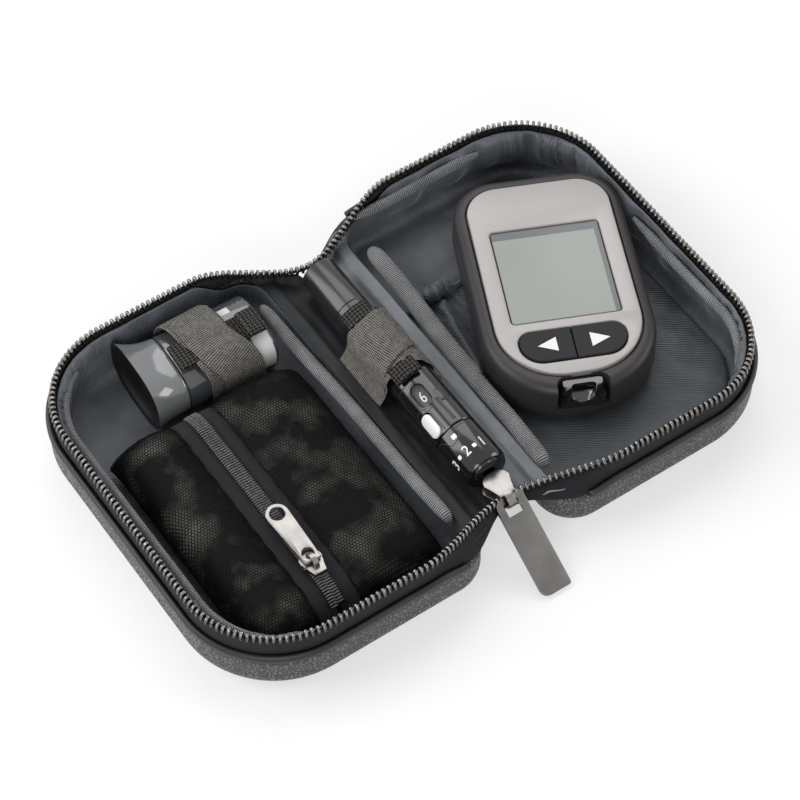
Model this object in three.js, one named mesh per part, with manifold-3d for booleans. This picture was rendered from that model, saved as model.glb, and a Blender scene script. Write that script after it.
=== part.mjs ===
// A zipped case for a glucose meter, lying open: two soft-sided trays on a flexible spine,
// with the mesh pocket, strip vial, lancing pen and meter that it carries.
// Millimetres. X runs across the spine, Y along it to the far end, Z up from the table.
import * as THREE from 'three';
import { mergeVertices } from 'three/addons/utils/BufferGeometryUtils.js';
import Module from 'manifold-3d';

// Clearances shared by every piece
const GAP = 0.3;
const OVERRUN = 6;
const MERGE = 0.0001;

// The case: two trays on a spine
const CASE_LENGTH = 117.6;
const TRAY_REACH = 90;
const SPINE_WIDTH = 20.8;
const SHELL_HEIGHT = 12.5;
const OUTER_CORNER = 28;
const SPINE_CORNER = 11.5;
const SHELL_WALL = 2;
const SHELL_FOOT_ROUND = 5.5;
const SHELL_INNER_ROUND = 3.6;

// The leather lip sewn on the shell's edge, on its zipped sides
const WELT_WIDTH = 1.6;
const WELT_HEIGHT = 2.8;
const WELT_STANDS_OUT = 0.5;
const WELT_START = 19.6;
const WELT_LOW_SHARE = 0.5;
const WELT_FADE = 9;
const WELT_STATIONS = 34;

// The zipper round the rim: it falls and draws in to the two ends of the spine
const TAPE_THICK = 0.6;
const TAPE_INSET = 2;
const RIM_FALL_START = 33;
const RIM_END_HALF = 47.3;
const RIM_END_HEIGHT = 16.6;
const GUSSET_START = 18.7;
const GUSSET_END = 0.45;
const GUSSET_FOOT_HALF = 48.4;
const TOOTH_PITCH = 1.65;
const TOOTH_HEIGHT = 1.7;
const TOOTH_WIDTH = 1.7;
const TOOTH_ROOT_SHARE = 0.45;
const TAPE_STATIONS = 44;
const GUSSET_STATIONS = 11;

// Linings and bound seams
const LINING_THICK = 0.5;
const LINING_BELOW_RIM = 2.8;
const LINING_RISE_START = 21;
const LINING_RISE_LENGTH = 13;
const SEAM_RADIUS = 1.9;
const SEAM_HEIGHT = 12.9;
const SEAM_HALF_LENGTH = 43;
const SEAM_OFF_SPINE = 15.4;
const SEAM_FAR_DRIFT = 2.4;
const BINDING_RADIUS = 1.5;
const BINDING_HEIGHT = 16.8;
const BINDING_INSET = 5.2;
const BINDING_STATIONS = 12;
const BINDING_TIP_SHARE = 0.6;
const LEFT_BINDING_SHARES = [0.3, 0.7];
const RIGHT_NEAR_BINDING_SHARES = [0.3, 0.53];
const RIGHT_FAR_BINDING_SHARES = [0.62, 0.9];

// The spine strip and its lining
const SPINE_STRIP_THICK = 1.2;
const SPINE_EDGE_HEIGHT = 12.1;
const SPINE_SAG = 1.9;
const SPINE_STRIP_HALF = 46.6;

// The mesh pocket in the left tray
const POCKET_LEFT = -79;
const POCKET_RIGHT = -20.4;
const POCKET_NEAR = -52;
const POCKET_FAR_LEFT = 25.6;
const POCKET_FAR_RIGHT = 25.2;
const POCKET_EDGE_ROUND = 11;
const POCKET_ZIP_X = -54.6;
const POCKET_ZIP_SLOT = 1.2;
const POCKET_TAPE_WIDTH = 6;
const POCKET_TAPE_THICK = 0.6;
const POCKET_TAPE_HEIGHT = 16.6;
const POCKET_BULGE_SHARE = 0.2;
const POCKET_CREST_SHARE = 0.38;
const POCKET_FOOT_SHARE = 0.3;
const POCKET_WALL_CLEARANCE = 4.7;
const NET_THICK = 0.8;
const NET_CELL_ROWS = 13;
const NET_CELLS_RIGHT = 6;
const NET_CELLS_LEFT = 3;
const NET_STRAND_SHARE = 0.24;
const COIL_WIDTH = 1.3;
const COIL_SPAN_SHARES = [0.03, 0.97];
const POCKET_STATIONS = 14;
const COIL_HEIGHT = 1.3;
const POCKET_SLIDER_Y = -37.8;

// Sliders and pullers
const POCKET_SLIDER_LENGTH = 7.6;
const POCKET_SLIDER_WIDTH = 6.4;
const POCKET_SLIDER_PLATE = 1.1;
const POCKET_PULL_LENGTH = 20.5;
const POCKET_PULL_WIDTH = 6.4;
const POCKET_PULL_BAR_WIDTH = 4.8;
const POCKET_PULL_THICK = 1;
const POCKET_PULL_HOLE = 1.7;
const POCKET_PULL_END_HOLE = 2.1;
const POCKET_PULL_END_RIM = 1.1;
const POCKET_BAIL_INNER = 1.6;
const POCKET_BAIL_WIRE = 0.8;
const POCKET_BAIL_WIDTH = 1.4;
const MAIN_SLIDER_LENGTH = 8;
const MAIN_SLIDER_WIDTH = 8;
const MAIN_SLIDER_PLATE = 1.1;
const MAIN_SLIDER_HEIGHT = 4.8;
const MAIN_SLIDER_NECK = 2.4;
const SLIDER_NECK_SHARE = 0.8;
const SLIDER_WEB_SHARE = 0.5;
const SLIDER_FLANGE_SHARE = 0.4;
const SLIDER_FLANGE_THICK = 0.6;
const SLIDER_OUTLINE_SHARES = { tail: 0.28, waist: 0.38, shoulder: 0.12, nose: 0.46 };
const MAIN_SLIDER_BASE = 13.2;
const MAIN_BAIL_INNER = 1.6;
const MAIN_BAIL_WIRE = 1;
const MAIN_BAIL_WIDTH = 2.4;
const MAIN_PULL_LENGTH = 28.5;
const MAIN_PULL_WIDTH = 9;
const MAIN_PULL_THICK = 1.2;
const MAIN_PULL_BAR = 0.75;
const MAIN_PULL_HOLE_LENGTH = 3.9;
const MAIN_PULL_HOLE_WIDTH = 4.6;
const MAIN_PULL_CORNER = 0.8;

// The strip vial, lying on its side in the left tray
const VIAL_LENGTH = 39.6;
const VIAL_WIDTH = 22.8;
const VIAL_THICK = 15.6;
const VIAL_WALL = 1.4;
const VIAL_TURN = THREE.MathUtils.degToRad(-2);
const VIAL_X = -41.6;
const VIAL_Y = 39.8;
const VIAL_ROUNDNESS_POWER = 2.7;
const VIAL_LID_LENGTH = 11;
const VIAL_FLARE_WIDTH = 27.4;
const VIAL_FLARE_RISE = 4;
const VIAL_PLUG_LENGTH = 2.4;
const VIAL_PLUG_CLEARANCE = 0.5;
const VIAL_HINGE_ABOVE = 0.6;
const VIAL_DISH_DEPTH = 3;
const VIAL_STRAP_WIDTH = 15;
const VIAL_STRAP_X = 3.4;
const VIAL_STRAP_SLACK = 0.4;
const VIAL_STRAP_ROUNDNESS_POWER = 3.4;
const VIAL_TAB_LENGTH = 26;
const VIAL_TAB_X = 5.6;
const VIAL_TAB_WIDTH = 8.4;
const VIAL_TAB_Y = -2.6;
const VIAL_SECTION_POINTS = 28;
const WEBBING_THICK = 0.9;
const STRIP_WIDTH = 13;
const STRIP_STACK = 9;
const STRIP_LENGTH = 23;
const STRIP_LIFT = 1.2;
const VIAL_FLARE_SHARES = [0, 0.25, 0.55, 1];
const VIAL_DISH_SHARES = [0.6, 0.85];
const VIAL_DISH_EDGE_SHARE = 0.7;

// The lancing pen, held on the spine
const PEN_RADIUS = 6.45;
const PEN_Z = 17.2;
const PEN_BACK_END = 42.6;
const PEN_BARREL_END = 20.6;
const PEN_FRONT = -24.8;
const PEN_TIP = -39.5;
const PEN_NOSE_RADIUS = 4.9;
const PEN_NOSE_LENGTH = 9;
const PEN_PLUNGER_RADIUS = 5.5;
const PEN_PLUNGER_DEPTH = 6;
const PEN_PLUNGER_TRAVEL = 4.5;
const PEN_CHAMFER = 0.6;
const PEN_LANCET_HOLE = 1.9;
const PEN_CAVITY_RADIUS = 5.1;
const PEN_CAVITY_START = -21;
const PEN_CAVITY_END = 2;
const PEN_DRUM_START = -15.4;
const PEN_DRUM_LENGTH = 13.4;
const PEN_WINDOW_ROLL = THREE.MathUtils.degToRad(26);
const PEN_WINDOW_Y = -11.6;
const PEN_WINDOW_LENGTH = 7.6;
const PEN_WINDOW_WIDTH = 4.6;
const PEN_BUTTON_ROLL = THREE.MathUtils.degToRad(62);
const PEN_BUTTON_Y = -19.6;
const PEN_BUTTON_LENGTH = 7.4;
const PEN_BUTTON_WIDTH = 4.4;
const PEN_BUTTON_THICK = 1.6;
const PEN_BUTTON_TRAVEL = 0.8;
const PEN_LEVER_ROLL = THREE.MathUtils.degToRad(-16);
const PEN_LEVER_Y = -14.8;
const PEN_LEVER_LENGTH = 4.4;
const PEN_LEVER_WIDTH = 2.8;
const PEN_LEVER_TRAVEL = 4;
const PEN_SIDES = 24;
const PEN_STRAP_START = -3;
const PEN_STRAP_WIDTH = 20;
const PEN_STRAP_FOOT_X = 9;
const PEN_TAB_LENGTH = 28;
const PEN_TAB_WIDTH = 7.4;
const PEN_TAB_Y = 8.2;
const PEN_TAB_ROLL = THREE.MathUtils.degToRad(18);
const PEN_TAB_EDGE_ANGLE = THREE.MathUtils.degToRad(36);
const PEN_STRAP_RISE_ANGLE = THREE.MathUtils.degToRad(32);

// The slip pocket in the right tray
const PANEL_THICK = 0.6;
const PANEL_INSET = 6.6;
const HEM_Y = 25;
const HEM_START = 20;
const HEM_END = 80;
const HEM_FULL_END = 34;
const HEM_RADIUS = 2;
const HEM_FLAT_RADIUS = 0.65;
const HEM_GATHER_SHARE = 0.16;
const HEM_GATHERS = 9;
const HEM_FADE = 4;

// The meter and the hook-and-loop patch under it
const METER_LENGTH = 77.1;
const METER_WIDTH = 48.6;
const METER_THICK = 15.3;
const METER_TOP_CORNER = 13;
const METER_FOOT_CORNER = 22;
const METER_TURN = THREE.MathUtils.degToRad(-24.5);
const METER_X = 52.2;
const METER_Y = 1.5;
const METER_RIM_DROP = 0.9;
const METER_FOOT_ROUND = 3.4;
const METER_EDGE_ROUND = 3;
const METER_WALL = 2.4;
const METER_FACE_HALF_WIDTH = 20.6;
const METER_FACE_TOP = 34.4;
const METER_FACE_FOOT = -33.2;
const METER_FACE_TOP_CORNER = 9.5;
const METER_FACE_FOOT_CORNER = 18;
const METER_FACE_THICK = 2.4;
const METER_FACE_CHAMFER = 0.5;
const METER_FACE_LEDGE = 1.2;
const METER_BOARD_LEDGE = 1.6;
const METER_WINDOW_WIDTH = 30.6;
const METER_WINDOW_HEIGHT = 32.4;
const METER_WINDOW_Y = 2;
const METER_WINDOW_CORNER = 3;
const METER_LENS_THICK = 1.3;
const METER_LENS_SUNK = 0.5;
const METER_BOARD_THICK = 1.2;
const METER_BOARD_HEIGHT = 6.6;
const METER_PAD_WIDTH = 29.6;
const METER_PAD_HEIGHT = 10.4;
const METER_PAD_Y = -23.2;
const METER_PAD_PROUD = 0.4;
const METER_PAD_DEPTH = 7;
const METER_BUTTON_TRAVEL = 0.6;
const METER_DOOR_WIDTH = 22;
const METER_DOOR_LENGTH = 23;
const METER_DOOR_THICK = 1.1;
const METER_DOOR_Y = -12;
const METER_DOOR_TRAVEL = 9;
const METER_CELL_RADIUS = 10;
const METER_CELL_THICK = 3.2;
const METER_PORT_WIDTH = 14;
const METER_PORT_DEPTH = 4.4;
const METER_PORT_BOTTOM = 6.2;
const METER_PORT_TOP = 13.4;
const METER_PORT_SLOPE = 1.4;
const METER_PORT_TOP_SHARE = 0.8;
const METER_SLOT_WIDTH = 6.2;
const METER_SLOT_HEIGHT = 1.4;
const PATCH_THICK = 1.3;
const PATCH_WIDTH = 20;
const PATCH_LENGTH = 18;

// Where the named sizes meet
const SPINE_HALF = SPINE_WIDTH / 2;
const CASE_HALF = CASE_LENGTH / 2;
const RIM_TOP = SHELL_HEIGHT + SPINE_HALF - GAP / 2;
const TAPE_FOOT = SHELL_HEIGHT + GAP;
const FLOOR_TOP = SHELL_WALL + GAP + LINING_THICK;
const LINING_INSET = TAPE_INSET + TAPE_THICK / 2 + 2 * GAP;
const RIM_DRAW = CASE_HALF - TAPE_INSET - RIM_END_HALF;
const POCKET_FOOT = FLOOR_TOP + GAP;
const VIAL_Z = FLOOR_TOP + GAP + VIAL_THICK / 2;
const PANEL_TOP = FLOOR_TOP + GAP + PANEL_THICK;
const METER_Z = PANEL_TOP + GAP + PATCH_THICK + GAP;

const wasm = await Module();
wasm.setup();

// Finishes
const LOOKS = {
  leather: { color: 0x2c2c30, roughness: 0.6, metalness: 0 },
  tape: { color: 0x141416, roughness: 0.85, metalness: 0 },
  teeth: { color: 0x8c8a86, roughness: 0.3, metalness: 1 },
  lining: { color: 0x3a3d42, roughness: 0.7, metalness: 0 },
  satin: { color: 0x6d7177, roughness: 0.5, metalness: 0 },
  binding: { color: 0x55585d, roughness: 0.8, metalness: 0 },
  net: { color: 0x0f0f10, roughness: 0.8, metalness: 0 },
  elastic: { color: 0x3b3733, roughness: 0.9, metalness: 0 },
  webbing: { color: 0x222122, roughness: 0.9, metalness: 0 },
  nickel: { color: 0xc9c4bb, roughness: 0.25, metalness: 1 },
  gunmetal: { color: 0x6f6a63, roughness: 0.3, metalness: 1 },
  vial: { color: 0x3d4044, roughness: 0.15, metalness: 0 },
  paper: { color: 0xe6e4df, roughness: 0.6, metalness: 0 },
  pen: { color: 0x161719, roughness: 0.2, metalness: 0 },
  white: { color: 0xf2f2f2, roughness: 0.4, metalness: 0 },
  meter: { color: 0x3c3b3e, roughness: 0.55, metalness: 0 },
  face: { color: 0xb7b1ab, roughness: 0.35, metalness: 0.6 },
  display: { color: 0xaeb4ab, roughness: 0.2, metalness: 0 },
  rubber: { color: 0x101012, roughness: 0.5, metalness: 0 },
  gloss: { color: 0x08080a, roughness: 0.08, metalness: 0 },
  board: { color: 0x1f5a3a, roughness: 0.6, metalness: 0 },
};

const caseGroup = new THREE.Group();

// One named piece with its own material, in the group that carries it.
function addPiece(name, geometry, look, group = caseGroup) {
  const mesh = new THREE.Mesh(geometry, new THREE.MeshStandardMaterial(LOOKS[look]));
  mesh.name = name;
  group.add(mesh);
  return mesh;
}

// Zero before the start, one after the end, and an even S between.
function smooth(share) {
  const s = Math.min(Math.max(share, 0), 1);
  return s * s * (3 - 2 * s);
}

// The same surface with its faces turned outwards.
function outward(geometry) {
  const at = geometry.attributes.position;
  const faces = geometry.index.array;
  const [a, b, c] = [new THREE.Vector3(), new THREE.Vector3(), new THREE.Vector3()];
  let volume = 0;
  for (let i = 0; i < faces.length; i += 3) {
    a.fromBufferAttribute(at, faces[i]);
    b.fromBufferAttribute(at, faces[i + 1]);
    c.fromBufferAttribute(at, faces[i + 2]);
    volume += a.dot(b.cross(c));
  }
  if (volume < 0) {
    for (let i = 0; i < faces.length; i += 3) {
      [faces[i + 1], faces[i + 2]] = [faces[i + 2], faces[i + 1]];
    }
  }
  return geometry;
}

// A closed surface from points and triangles.
function surface(points, faces) {
  const geometry = new THREE.BufferGeometry();
  const numbers = points.flatMap((p) => [p.x, p.y, p.z]);
  geometry.setAttribute('position', new THREE.Float32BufferAttribute(numbers, 3));
  geometry.setIndex(faces);
  return outward(geometry);
}

// A solid skinned over rings of equal count, capped at both ends unless it closes on itself.
function loft(rings, looped = false) {
  const count = rings[0].length;
  const points = rings.flat();
  const faces = [];
  const bands = looped ? rings.length : rings.length - 1;
  for (let band = 0; band < bands; band += 1) {
    const a = band * count;
    const b = ((band + 1) % rings.length) * count;
    for (let i = 0; i < count; i += 1) {
      const j = (i + 1) % count;
      faces.push(a + i, a + j, b + j, a + i, b + j, b + i);
    }
  }
  if (!looped) {
    const last = (rings.length - 1) * count;
    const ends = [rings[0], rings[rings.length - 1]];
    const middles = ends.map((ring) => {
      const middle = ring.reduce((sum, p) => sum.add(p), new THREE.Vector3());
      points.push(middle.divideScalar(count));
      return points.length - 1;
    });
    for (let i = 0; i < count; i += 1) {
      const j = (i + 1) % count;
      faces.push(j, i, middles[0], last + i, last + j, middles[1]);
    }
  }
  return surface(points, faces);
}

// The other tray's twin of a piece.
function mirrored(geometry) {
  return outward(geometry.clone().scale(-1, 1, 1));
}

// A closed solid for cutting and joining.
function toSolid(geometry) {
  const bare = geometry.clone();
  bare.deleteAttribute('normal');
  bare.deleteAttribute('uv');
  const merged = mergeVertices(bare, MERGE);
  return new wasm.Manifold(new wasm.Mesh({
    numProp: 3,
    vertProperties: new Float32Array(merged.attributes.position.array),
    triVerts: new Uint32Array(merged.index.array),
  }));
}

function toGeometry(solid) {
  const mesh = solid.getMesh();
  const geometry = new THREE.BufferGeometry();
  geometry.setAttribute('position', new THREE.Float32BufferAttribute(mesh.vertProperties, 3));
  geometry.setIndex(new THREE.Uint32BufferAttribute(mesh.triVerts, 1));
  return geometry;
}

function cut(body, ...tools) {
  return toGeometry(tools.reduce((left, tool) => left.subtract(toSolid(tool)), toSolid(body)));
}

function join(...pieces) {
  return toGeometry(pieces.map(toSolid).reduce((sum, piece) => sum.add(piece)));
}

function box(width, length, height, x = 0, y = 0, z = 0) {
  return new THREE.BoxGeometry(width, length, height).translate(x, y, z);
}

// A quarter round of plan points, from a start angle.
function corner(x, y, radius, start, steps) {
  return Array.from({ length: steps + 1 }, (_, i) => {
    const angle = start + (i / steps) * (Math.PI / 2);
    return new THREE.Vector2(x + radius * Math.cos(angle), y + radius * Math.sin(angle));
  });
}

// A rounded plan outline, anticlockwise from the near right corner, drawn in by an inset.
function plan(bounds, radii, inset, steps = 6) {
  const [x0, x1, y0, y1] = [
    bounds.x0 + inset, bounds.x1 - inset, bounds.y0 + inset, bounds.y1 - inset,
  ];
  const [a, b, c, d] = radii.map((radius) => Math.max(radius - inset, GAP));
  return [
    ...corner(x1 - a, y0 + a, a, -Math.PI / 2, steps),
    ...corner(x1 - b, y1 - b, b, 0, steps),
    ...corner(x0 + c, y1 - c, c, Math.PI / 2, steps),
    ...corner(x0 + d, y0 + d, d, Math.PI, steps),
  ];
}

function level(outline, z) {
  return outline.map((p) => new THREE.Vector3(p.x, p.y, z));
}

// A plate of a plan outline between two heights.
function plate(outline, bottom, top) {
  return loft([level(outline, bottom), level(outline, top)]);
}

// Trays
const TRAY_BOX = { x0: SPINE_HALF, x1: TRAY_REACH, y0: -CASE_HALF, y1: CASE_HALF };
const TRAY_RADII = [OUTER_CORNER, OUTER_CORNER, SPINE_CORNER, SPINE_CORNER];

function shell() {
  const outline = (inset, z) => level(plan(TRAY_BOX, TRAY_RADII, inset), z);
  const foot = [0, 1, 2, 3].map((i) => {
    const angle = (i / 3) * (Math.PI / 2);
    const inset = SHELL_FOOT_ROUND * (1 - Math.sin(angle));
    return outline(inset, SHELL_FOOT_ROUND * (1 - Math.cos(angle)));
  });
  const basin = [0, 1, 2].map((i) => {
    const angle = (i / 2) * (Math.PI / 2);
    const inset = SHELL_WALL + SHELL_INNER_ROUND * (1 - Math.cos(angle));
    return outline(inset, SHELL_WALL + SHELL_INNER_ROUND * (1 - Math.sin(angle)));
  });
  return loft([...foot, outline(0, SHELL_HEIGHT), outline(SHELL_WALL, SHELL_HEIGHT), ...basin]);
}

// How far the rim has fallen at a distance from the spine: one at the spine, zero further out.
function rimFall(x) {
  return 1 - smooth(x / RIM_FALL_START);
}

function rimHeight(x) {
  return RIM_TOP - rimFall(x) * (RIM_TOP - RIM_END_HEIGHT);
}

// Even stations round a tray's three zipped sides, near end to far end, with outward normals.
function zippedSides(inset, count) {
  const reach = TRAY_REACH - inset;
  const half = CASE_HALF - inset;
  const round = OUTER_CORNER - inset;
  const path = new THREE.Path();
  path.moveTo(0, -half);
  path.lineTo(reach - round, -half);
  path.absarc(reach - round, -half + round, round, -Math.PI / 2, 0, false);
  path.lineTo(reach, half - round);
  path.absarc(reach - round, half - round, round, 0, Math.PI / 2, false);
  path.lineTo(0, half);
  return Array.from({ length: count + 1 }, (_, i) => {
    const place = path.getPointAt(i / count);
    const along = path.getTangentAt(i / count);
    return { x: place.x, y: place.y, nx: along.y, ny: -along.x };
  });
}

// The stretch of stations further from the spine than a start, with exact ends there.
function beyond(stations, start) {
  const inside = stations.filter((s) => s.x > start + GAP);
  const [first, last] = [stations[0], stations[stations.length - 1]];
  return [{ ...first, x: start }, ...inside, { ...last, x: start }];
}

// A point off a station, drawn towards the case's middle as the rim is.
function offStation(station, out, z, drawn) {
  const draw = drawn * Math.sign(station.y);
  return new THREE.Vector3(station.x + station.nx * out, station.y + station.ny * out - draw, z);
}

function welt() {
  const stations = beyond(zippedSides(0, WELT_STATIONS), WELT_START);
  const spineCentre = SPINE_HALF + SPINE_CORNER;
  return loft(stations.map((s) => {
    const past = Math.max(spineCentre - s.x, 0);
    const recede = SPINE_CORNER - Math.sqrt(SPINE_CORNER ** 2 - past ** 2);
    const full = WELT_LOW_SHARE + (1 - WELT_LOW_SHARE) * smooth((s.x - WELT_START) / WELT_FADE);
    const top = TAPE_FOOT + WELT_HEIGHT * full;
    const middle = (TAPE_FOOT + top) / 2;
    return [
      offStation(s, -WELT_WIDTH + WELT_STANDS_OUT, TAPE_FOOT, recede),
      offStation(s, WELT_STANDS_OUT / 2, TAPE_FOOT, recede),
      offStation(s, WELT_STANDS_OUT, middle, recede),
      offStation(s, 0, top, recede),
      offStation(s, -WELT_WIDTH + WELT_STANDS_OUT, top - WELT_STANDS_OUT, recede),
    ];
  }));
}

function zipperTape() {
  const stations = beyond(zippedSides(TAPE_INSET, TAPE_STATIONS), GUSSET_START);
  const half = TAPE_THICK / 2;
  return loft(stations.map((s) => {
    const draw = rimFall(s.x) * RIM_DRAW;
    const top = rimHeight(s.x) - TOOTH_HEIGHT - GAP;
    return [
      offStation(s, half, TAPE_FOOT, 0),
      offStation(s, half, top, draw),
      offStation(s, -half, top, draw),
      offStation(s, -half, TAPE_FOOT, 0),
    ];
  }));
}

// A toothed ridge along stations: each tooth rises from its root to its head and back.
function toothRow(stations, rootOf) {
  const half = TOOTH_WIDTH / 2;
  return loft(stations.map((s, i) => {
    const root = rootOf(s);
    const head = i % 2 ? TOOTH_HEIGHT : TOOTH_HEIGHT * TOOTH_ROOT_SHARE;
    const draw = rimFall(s.x) * RIM_DRAW;
    return [
      offStation(s, half, root, draw),
      offStation(s, 0, root + head, draw),
      offStation(s, -half, root, draw),
    ];
  }));
}

function zipperTeeth() {
  const rimLength = 2 * (TRAY_REACH - TAPE_INSET) + CASE_LENGTH - 2 * TAPE_INSET
    - (4 - Math.PI) * (OUTER_CORNER - TAPE_INSET);
  const steps = 2 * Math.round(rimLength / TOOTH_PITCH);
  const stations = beyond(zippedSides(TAPE_INSET, steps), GUSSET_START);
  return toothRow(stations, (s) => rimHeight(s.x) - TOOTH_HEIGHT);
}

// The rim's soft corner between a tray and an end of the spine: tape and teeth in one.
function cornerGusset(endX) {
  const y = -(CASE_HALF - TAPE_INSET);
  const spread = GUSSET_START - GAP - endX;
  const half = TAPE_THICK / 2;
  const stations = Array.from({ length: 2 * GUSSET_STATIONS + 1 }, (_, i) => {
    const x = endX + (spread * i) / (2 * GUSSET_STATIONS);
    return { x, y, nx: 0, ny: -1, tooth: i % 2 };
  });
  return loft(stations.map((s) => {
    const draw = rimFall(s.x) * RIM_DRAW;
    const footDraw = (-y - GUSSET_FOOT_HALF) * (1 - smooth(s.x / GUSSET_START));
    const top = rimHeight(s.x) - TOOTH_HEIGHT;
    const head = s.tooth ? TOOTH_HEIGHT : TOOTH_HEIGHT * TOOTH_ROOT_SHARE;
    return [
      offStation(s, half, TAPE_FOOT, footDraw),
      offStation(s, TOOTH_WIDTH / 2, top, draw),
      offStation(s, 0, top + head, draw),
      offStation(s, -TOOTH_WIDTH / 2, top, draw),
      offStation(s, -half, TAPE_FOOT, footDraw),
    ];
  }));
}

// A tray's lining: the floor, low at the spine, and up inside the tape on the zipped sides.
function lining() {
  const base = withBreaks(plan(TRAY_BOX, TRAY_RADII, 0));
  const round = SHELL_INNER_ROUND;
  const inner = LINING_INSET + LINING_THICK;
  const ring = (inset, heightOf, leaned) => {
    const outline = withBreaks(plan(TRAY_BOX, TRAY_RADII, inset));
    return outline.map((p, i) => {
      const lean = leaned ? rimFall(base[i].x) * RIM_DRAW * lift(base[i].x) : 0;
      return new THREE.Vector3(p.x, p.y - Math.sign(p.y) * lean, heightOf(base[i].x));
    });
  };
  const lift = (x) => smooth((x - LINING_RISE_START) / LINING_RISE_LENGTH);
  const low = SHELL_HEIGHT - 2 * GAP;
  const topOf = (x) => low + (rimHeight(x) - LINING_BELOW_RIM - low) * lift(x);
  const bend = (inset, floor, turn) => {
    const angle = turn * (Math.PI / 4);
    return ring(inset + round * (1 - Math.cos(angle)), () => floor + round * (1 - Math.sin(angle)));
  };
  const bottom = SHELL_WALL + GAP;
  return loft([
    bend(LINING_INSET, bottom, 2),
    bend(LINING_INSET, bottom, 1),
    bend(LINING_INSET, bottom, 0),
    ring(LINING_INSET, topOf, true),
    ring(inner, topOf, true),
    bend(inner, FLOOR_TOP, 0),
    bend(inner, FLOOR_TOP, 1),
    bend(inner, FLOOR_TOP, 2),
  ]);
}

// The outline with two more points on each straight zipped end, where the rim falls.
function withBreaks(outline) {
  const perCorner = outline.length / 4;
  const near = outline[outline.length - 1];
  const far = outline[2 * perCorner];
  const breaks = [LINING_RISE_START + LINING_RISE_LENGTH / 2, LINING_RISE_START + LINING_RISE_LENGTH];
  return [
    ...outline.slice(0, 2 * perCorner),
    ...[...breaks].reverse().map((x) => new THREE.Vector2(x, far.y)),
    ...outline.slice(2 * perCorner),
    ...breaks.map((x) => new THREE.Vector2(x, near.y)),
  ];
}

// A round bar through points, its ends flat.
function bar(points, radiusOf, sides = 8, upright = new THREE.Vector3(0, 0, 1)) {
  return loft(points.map((point, i) => {
    const before = points[Math.max(i - 1, 0)];
    const after = points[Math.min(i + 1, points.length - 1)];
    const along = after.clone().sub(before).normalize();
    const across = new THREE.Vector3().crossVectors(along, upright).normalize();
    const up = new THREE.Vector3().crossVectors(across, along);
    const radius = radiusOf(i / (points.length - 1));
    return Array.from({ length: sides }, (_, k) => {
      const angle = (k / sides) * 2 * Math.PI;
      return point.clone()
        .addScaledVector(across, radius * Math.cos(angle))
        .addScaledVector(up, radius * Math.sin(angle));
    });
  }));
}

// The bound ridge along a tray's spine side; it drifts outwards to the far end.
function spineSeam() {
  const steps = 8;
  const points = Array.from({ length: steps + 1 }, (_, i) => {
    const share = i / steps;
    const y = SEAM_HALF_LENGTH * (2 * share - 1);
    return new THREE.Vector3(SEAM_OFF_SPINE + SEAM_FAR_DRIFT * share, y, SEAM_HEIGHT);
  });
  return bar(points, () => SEAM_RADIUS);
}

// The binding inside a tray's wall, between two shares of the way round from the near end.
function sideBinding([startShare, endShare]) {
  const around = zippedSides(BINDING_INSET, 100);
  const points = Array.from({ length: BINDING_STATIONS + 1 }, (_, i) => {
    const share = startShare + ((endShare - startShare) * i) / BINDING_STATIONS;
    const s = around[Math.round(share * 100)];
    return new THREE.Vector3(s.x, s.y, BINDING_HEIGHT);
  });
  const swell = (share) => BINDING_TIP_SHARE + (1 - BINDING_TIP_SHARE) * Math.sin(Math.PI * share);
  return bar(points, (share) => BINDING_RADIUS * swell(share), 6);
}

// The spine strip sags between the trays' edges.
function sagStrip(topAtEdge, thick) {
  const half = SPINE_HALF - GAP;
  const steps = 6;
  const across = Array.from({ length: steps + 1 }, (_, i) => half * ((2 * i) / steps - 1));
  const sag = (x) => topAtEdge - SPINE_SAG * (1 - (x / half) ** 2);
  const section = [
    ...across.map((x) => [x, sag(x)]),
    ...across.reverse().map((x) => [x, sag(x) - thick]),
  ];
  const shape = new THREE.Shape(section.map(([x, z]) => new THREE.Vector2(x, z)));
  return new THREE.ExtrudeGeometry(shape, { depth: 2 * SPINE_STRIP_HALF, bevelEnabled: false })
    .rotateX(Math.PI / 2)
    .translate(0, SPINE_STRIP_HALF, 0);
}

// The mesh pocket
// Its height along the zipper: level over the middle, rounding down at both ends.
function pocketRise(y, near, far) {
  const past = Math.max(near + POCKET_EDGE_ROUND - y, y - (far - POCKET_EDGE_ROUND), 0);
  const share = past / POCKET_EDGE_ROUND;
  return Math.sqrt(Math.max(1 - share * share, 0)) * (1 - POCKET_FOOT_SHARE) + POCKET_FOOT_SHARE;
}

function pocketFar(x) {
  const share = (x - POCKET_LEFT) / (POCKET_RIGHT - POCKET_LEFT);
  return POCKET_FAR_LEFT + (POCKET_FAR_RIGHT - POCKET_FAR_LEFT) * share;
}

// Its height across, from one at the zipper tape over the crest to the foot at its outer edge.
function pocketSwell(share) {
  if (share < POCKET_CREST_SHARE) {
    return 1 + POCKET_BULGE_SHARE * Math.sin((Math.PI / 2) * (share / POCKET_CREST_SHARE));
  }
  const past = (share - POCKET_CREST_SHARE) / (1 - POCKET_CREST_SHARE);
  const round = Math.sqrt(1 - past * past);
  return (1 + POCKET_BULGE_SHARE) * (round * (1 - POCKET_FOOT_SHARE) + POCKET_FOOT_SHARE);
}

// The near edge follows the tray's rounded corner where that comes in further.
function pocketNear(x) {
  const past = Math.max(-x - (TRAY_REACH - OUTER_CORNER), 0);
  const round = OUTER_CORNER - POCKET_WALL_CLEARANCE;
  return Math.max(POCKET_NEAR, OUTER_CORNER - CASE_HALF - Math.sqrt(round ** 2 - past ** 2));
}

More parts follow.
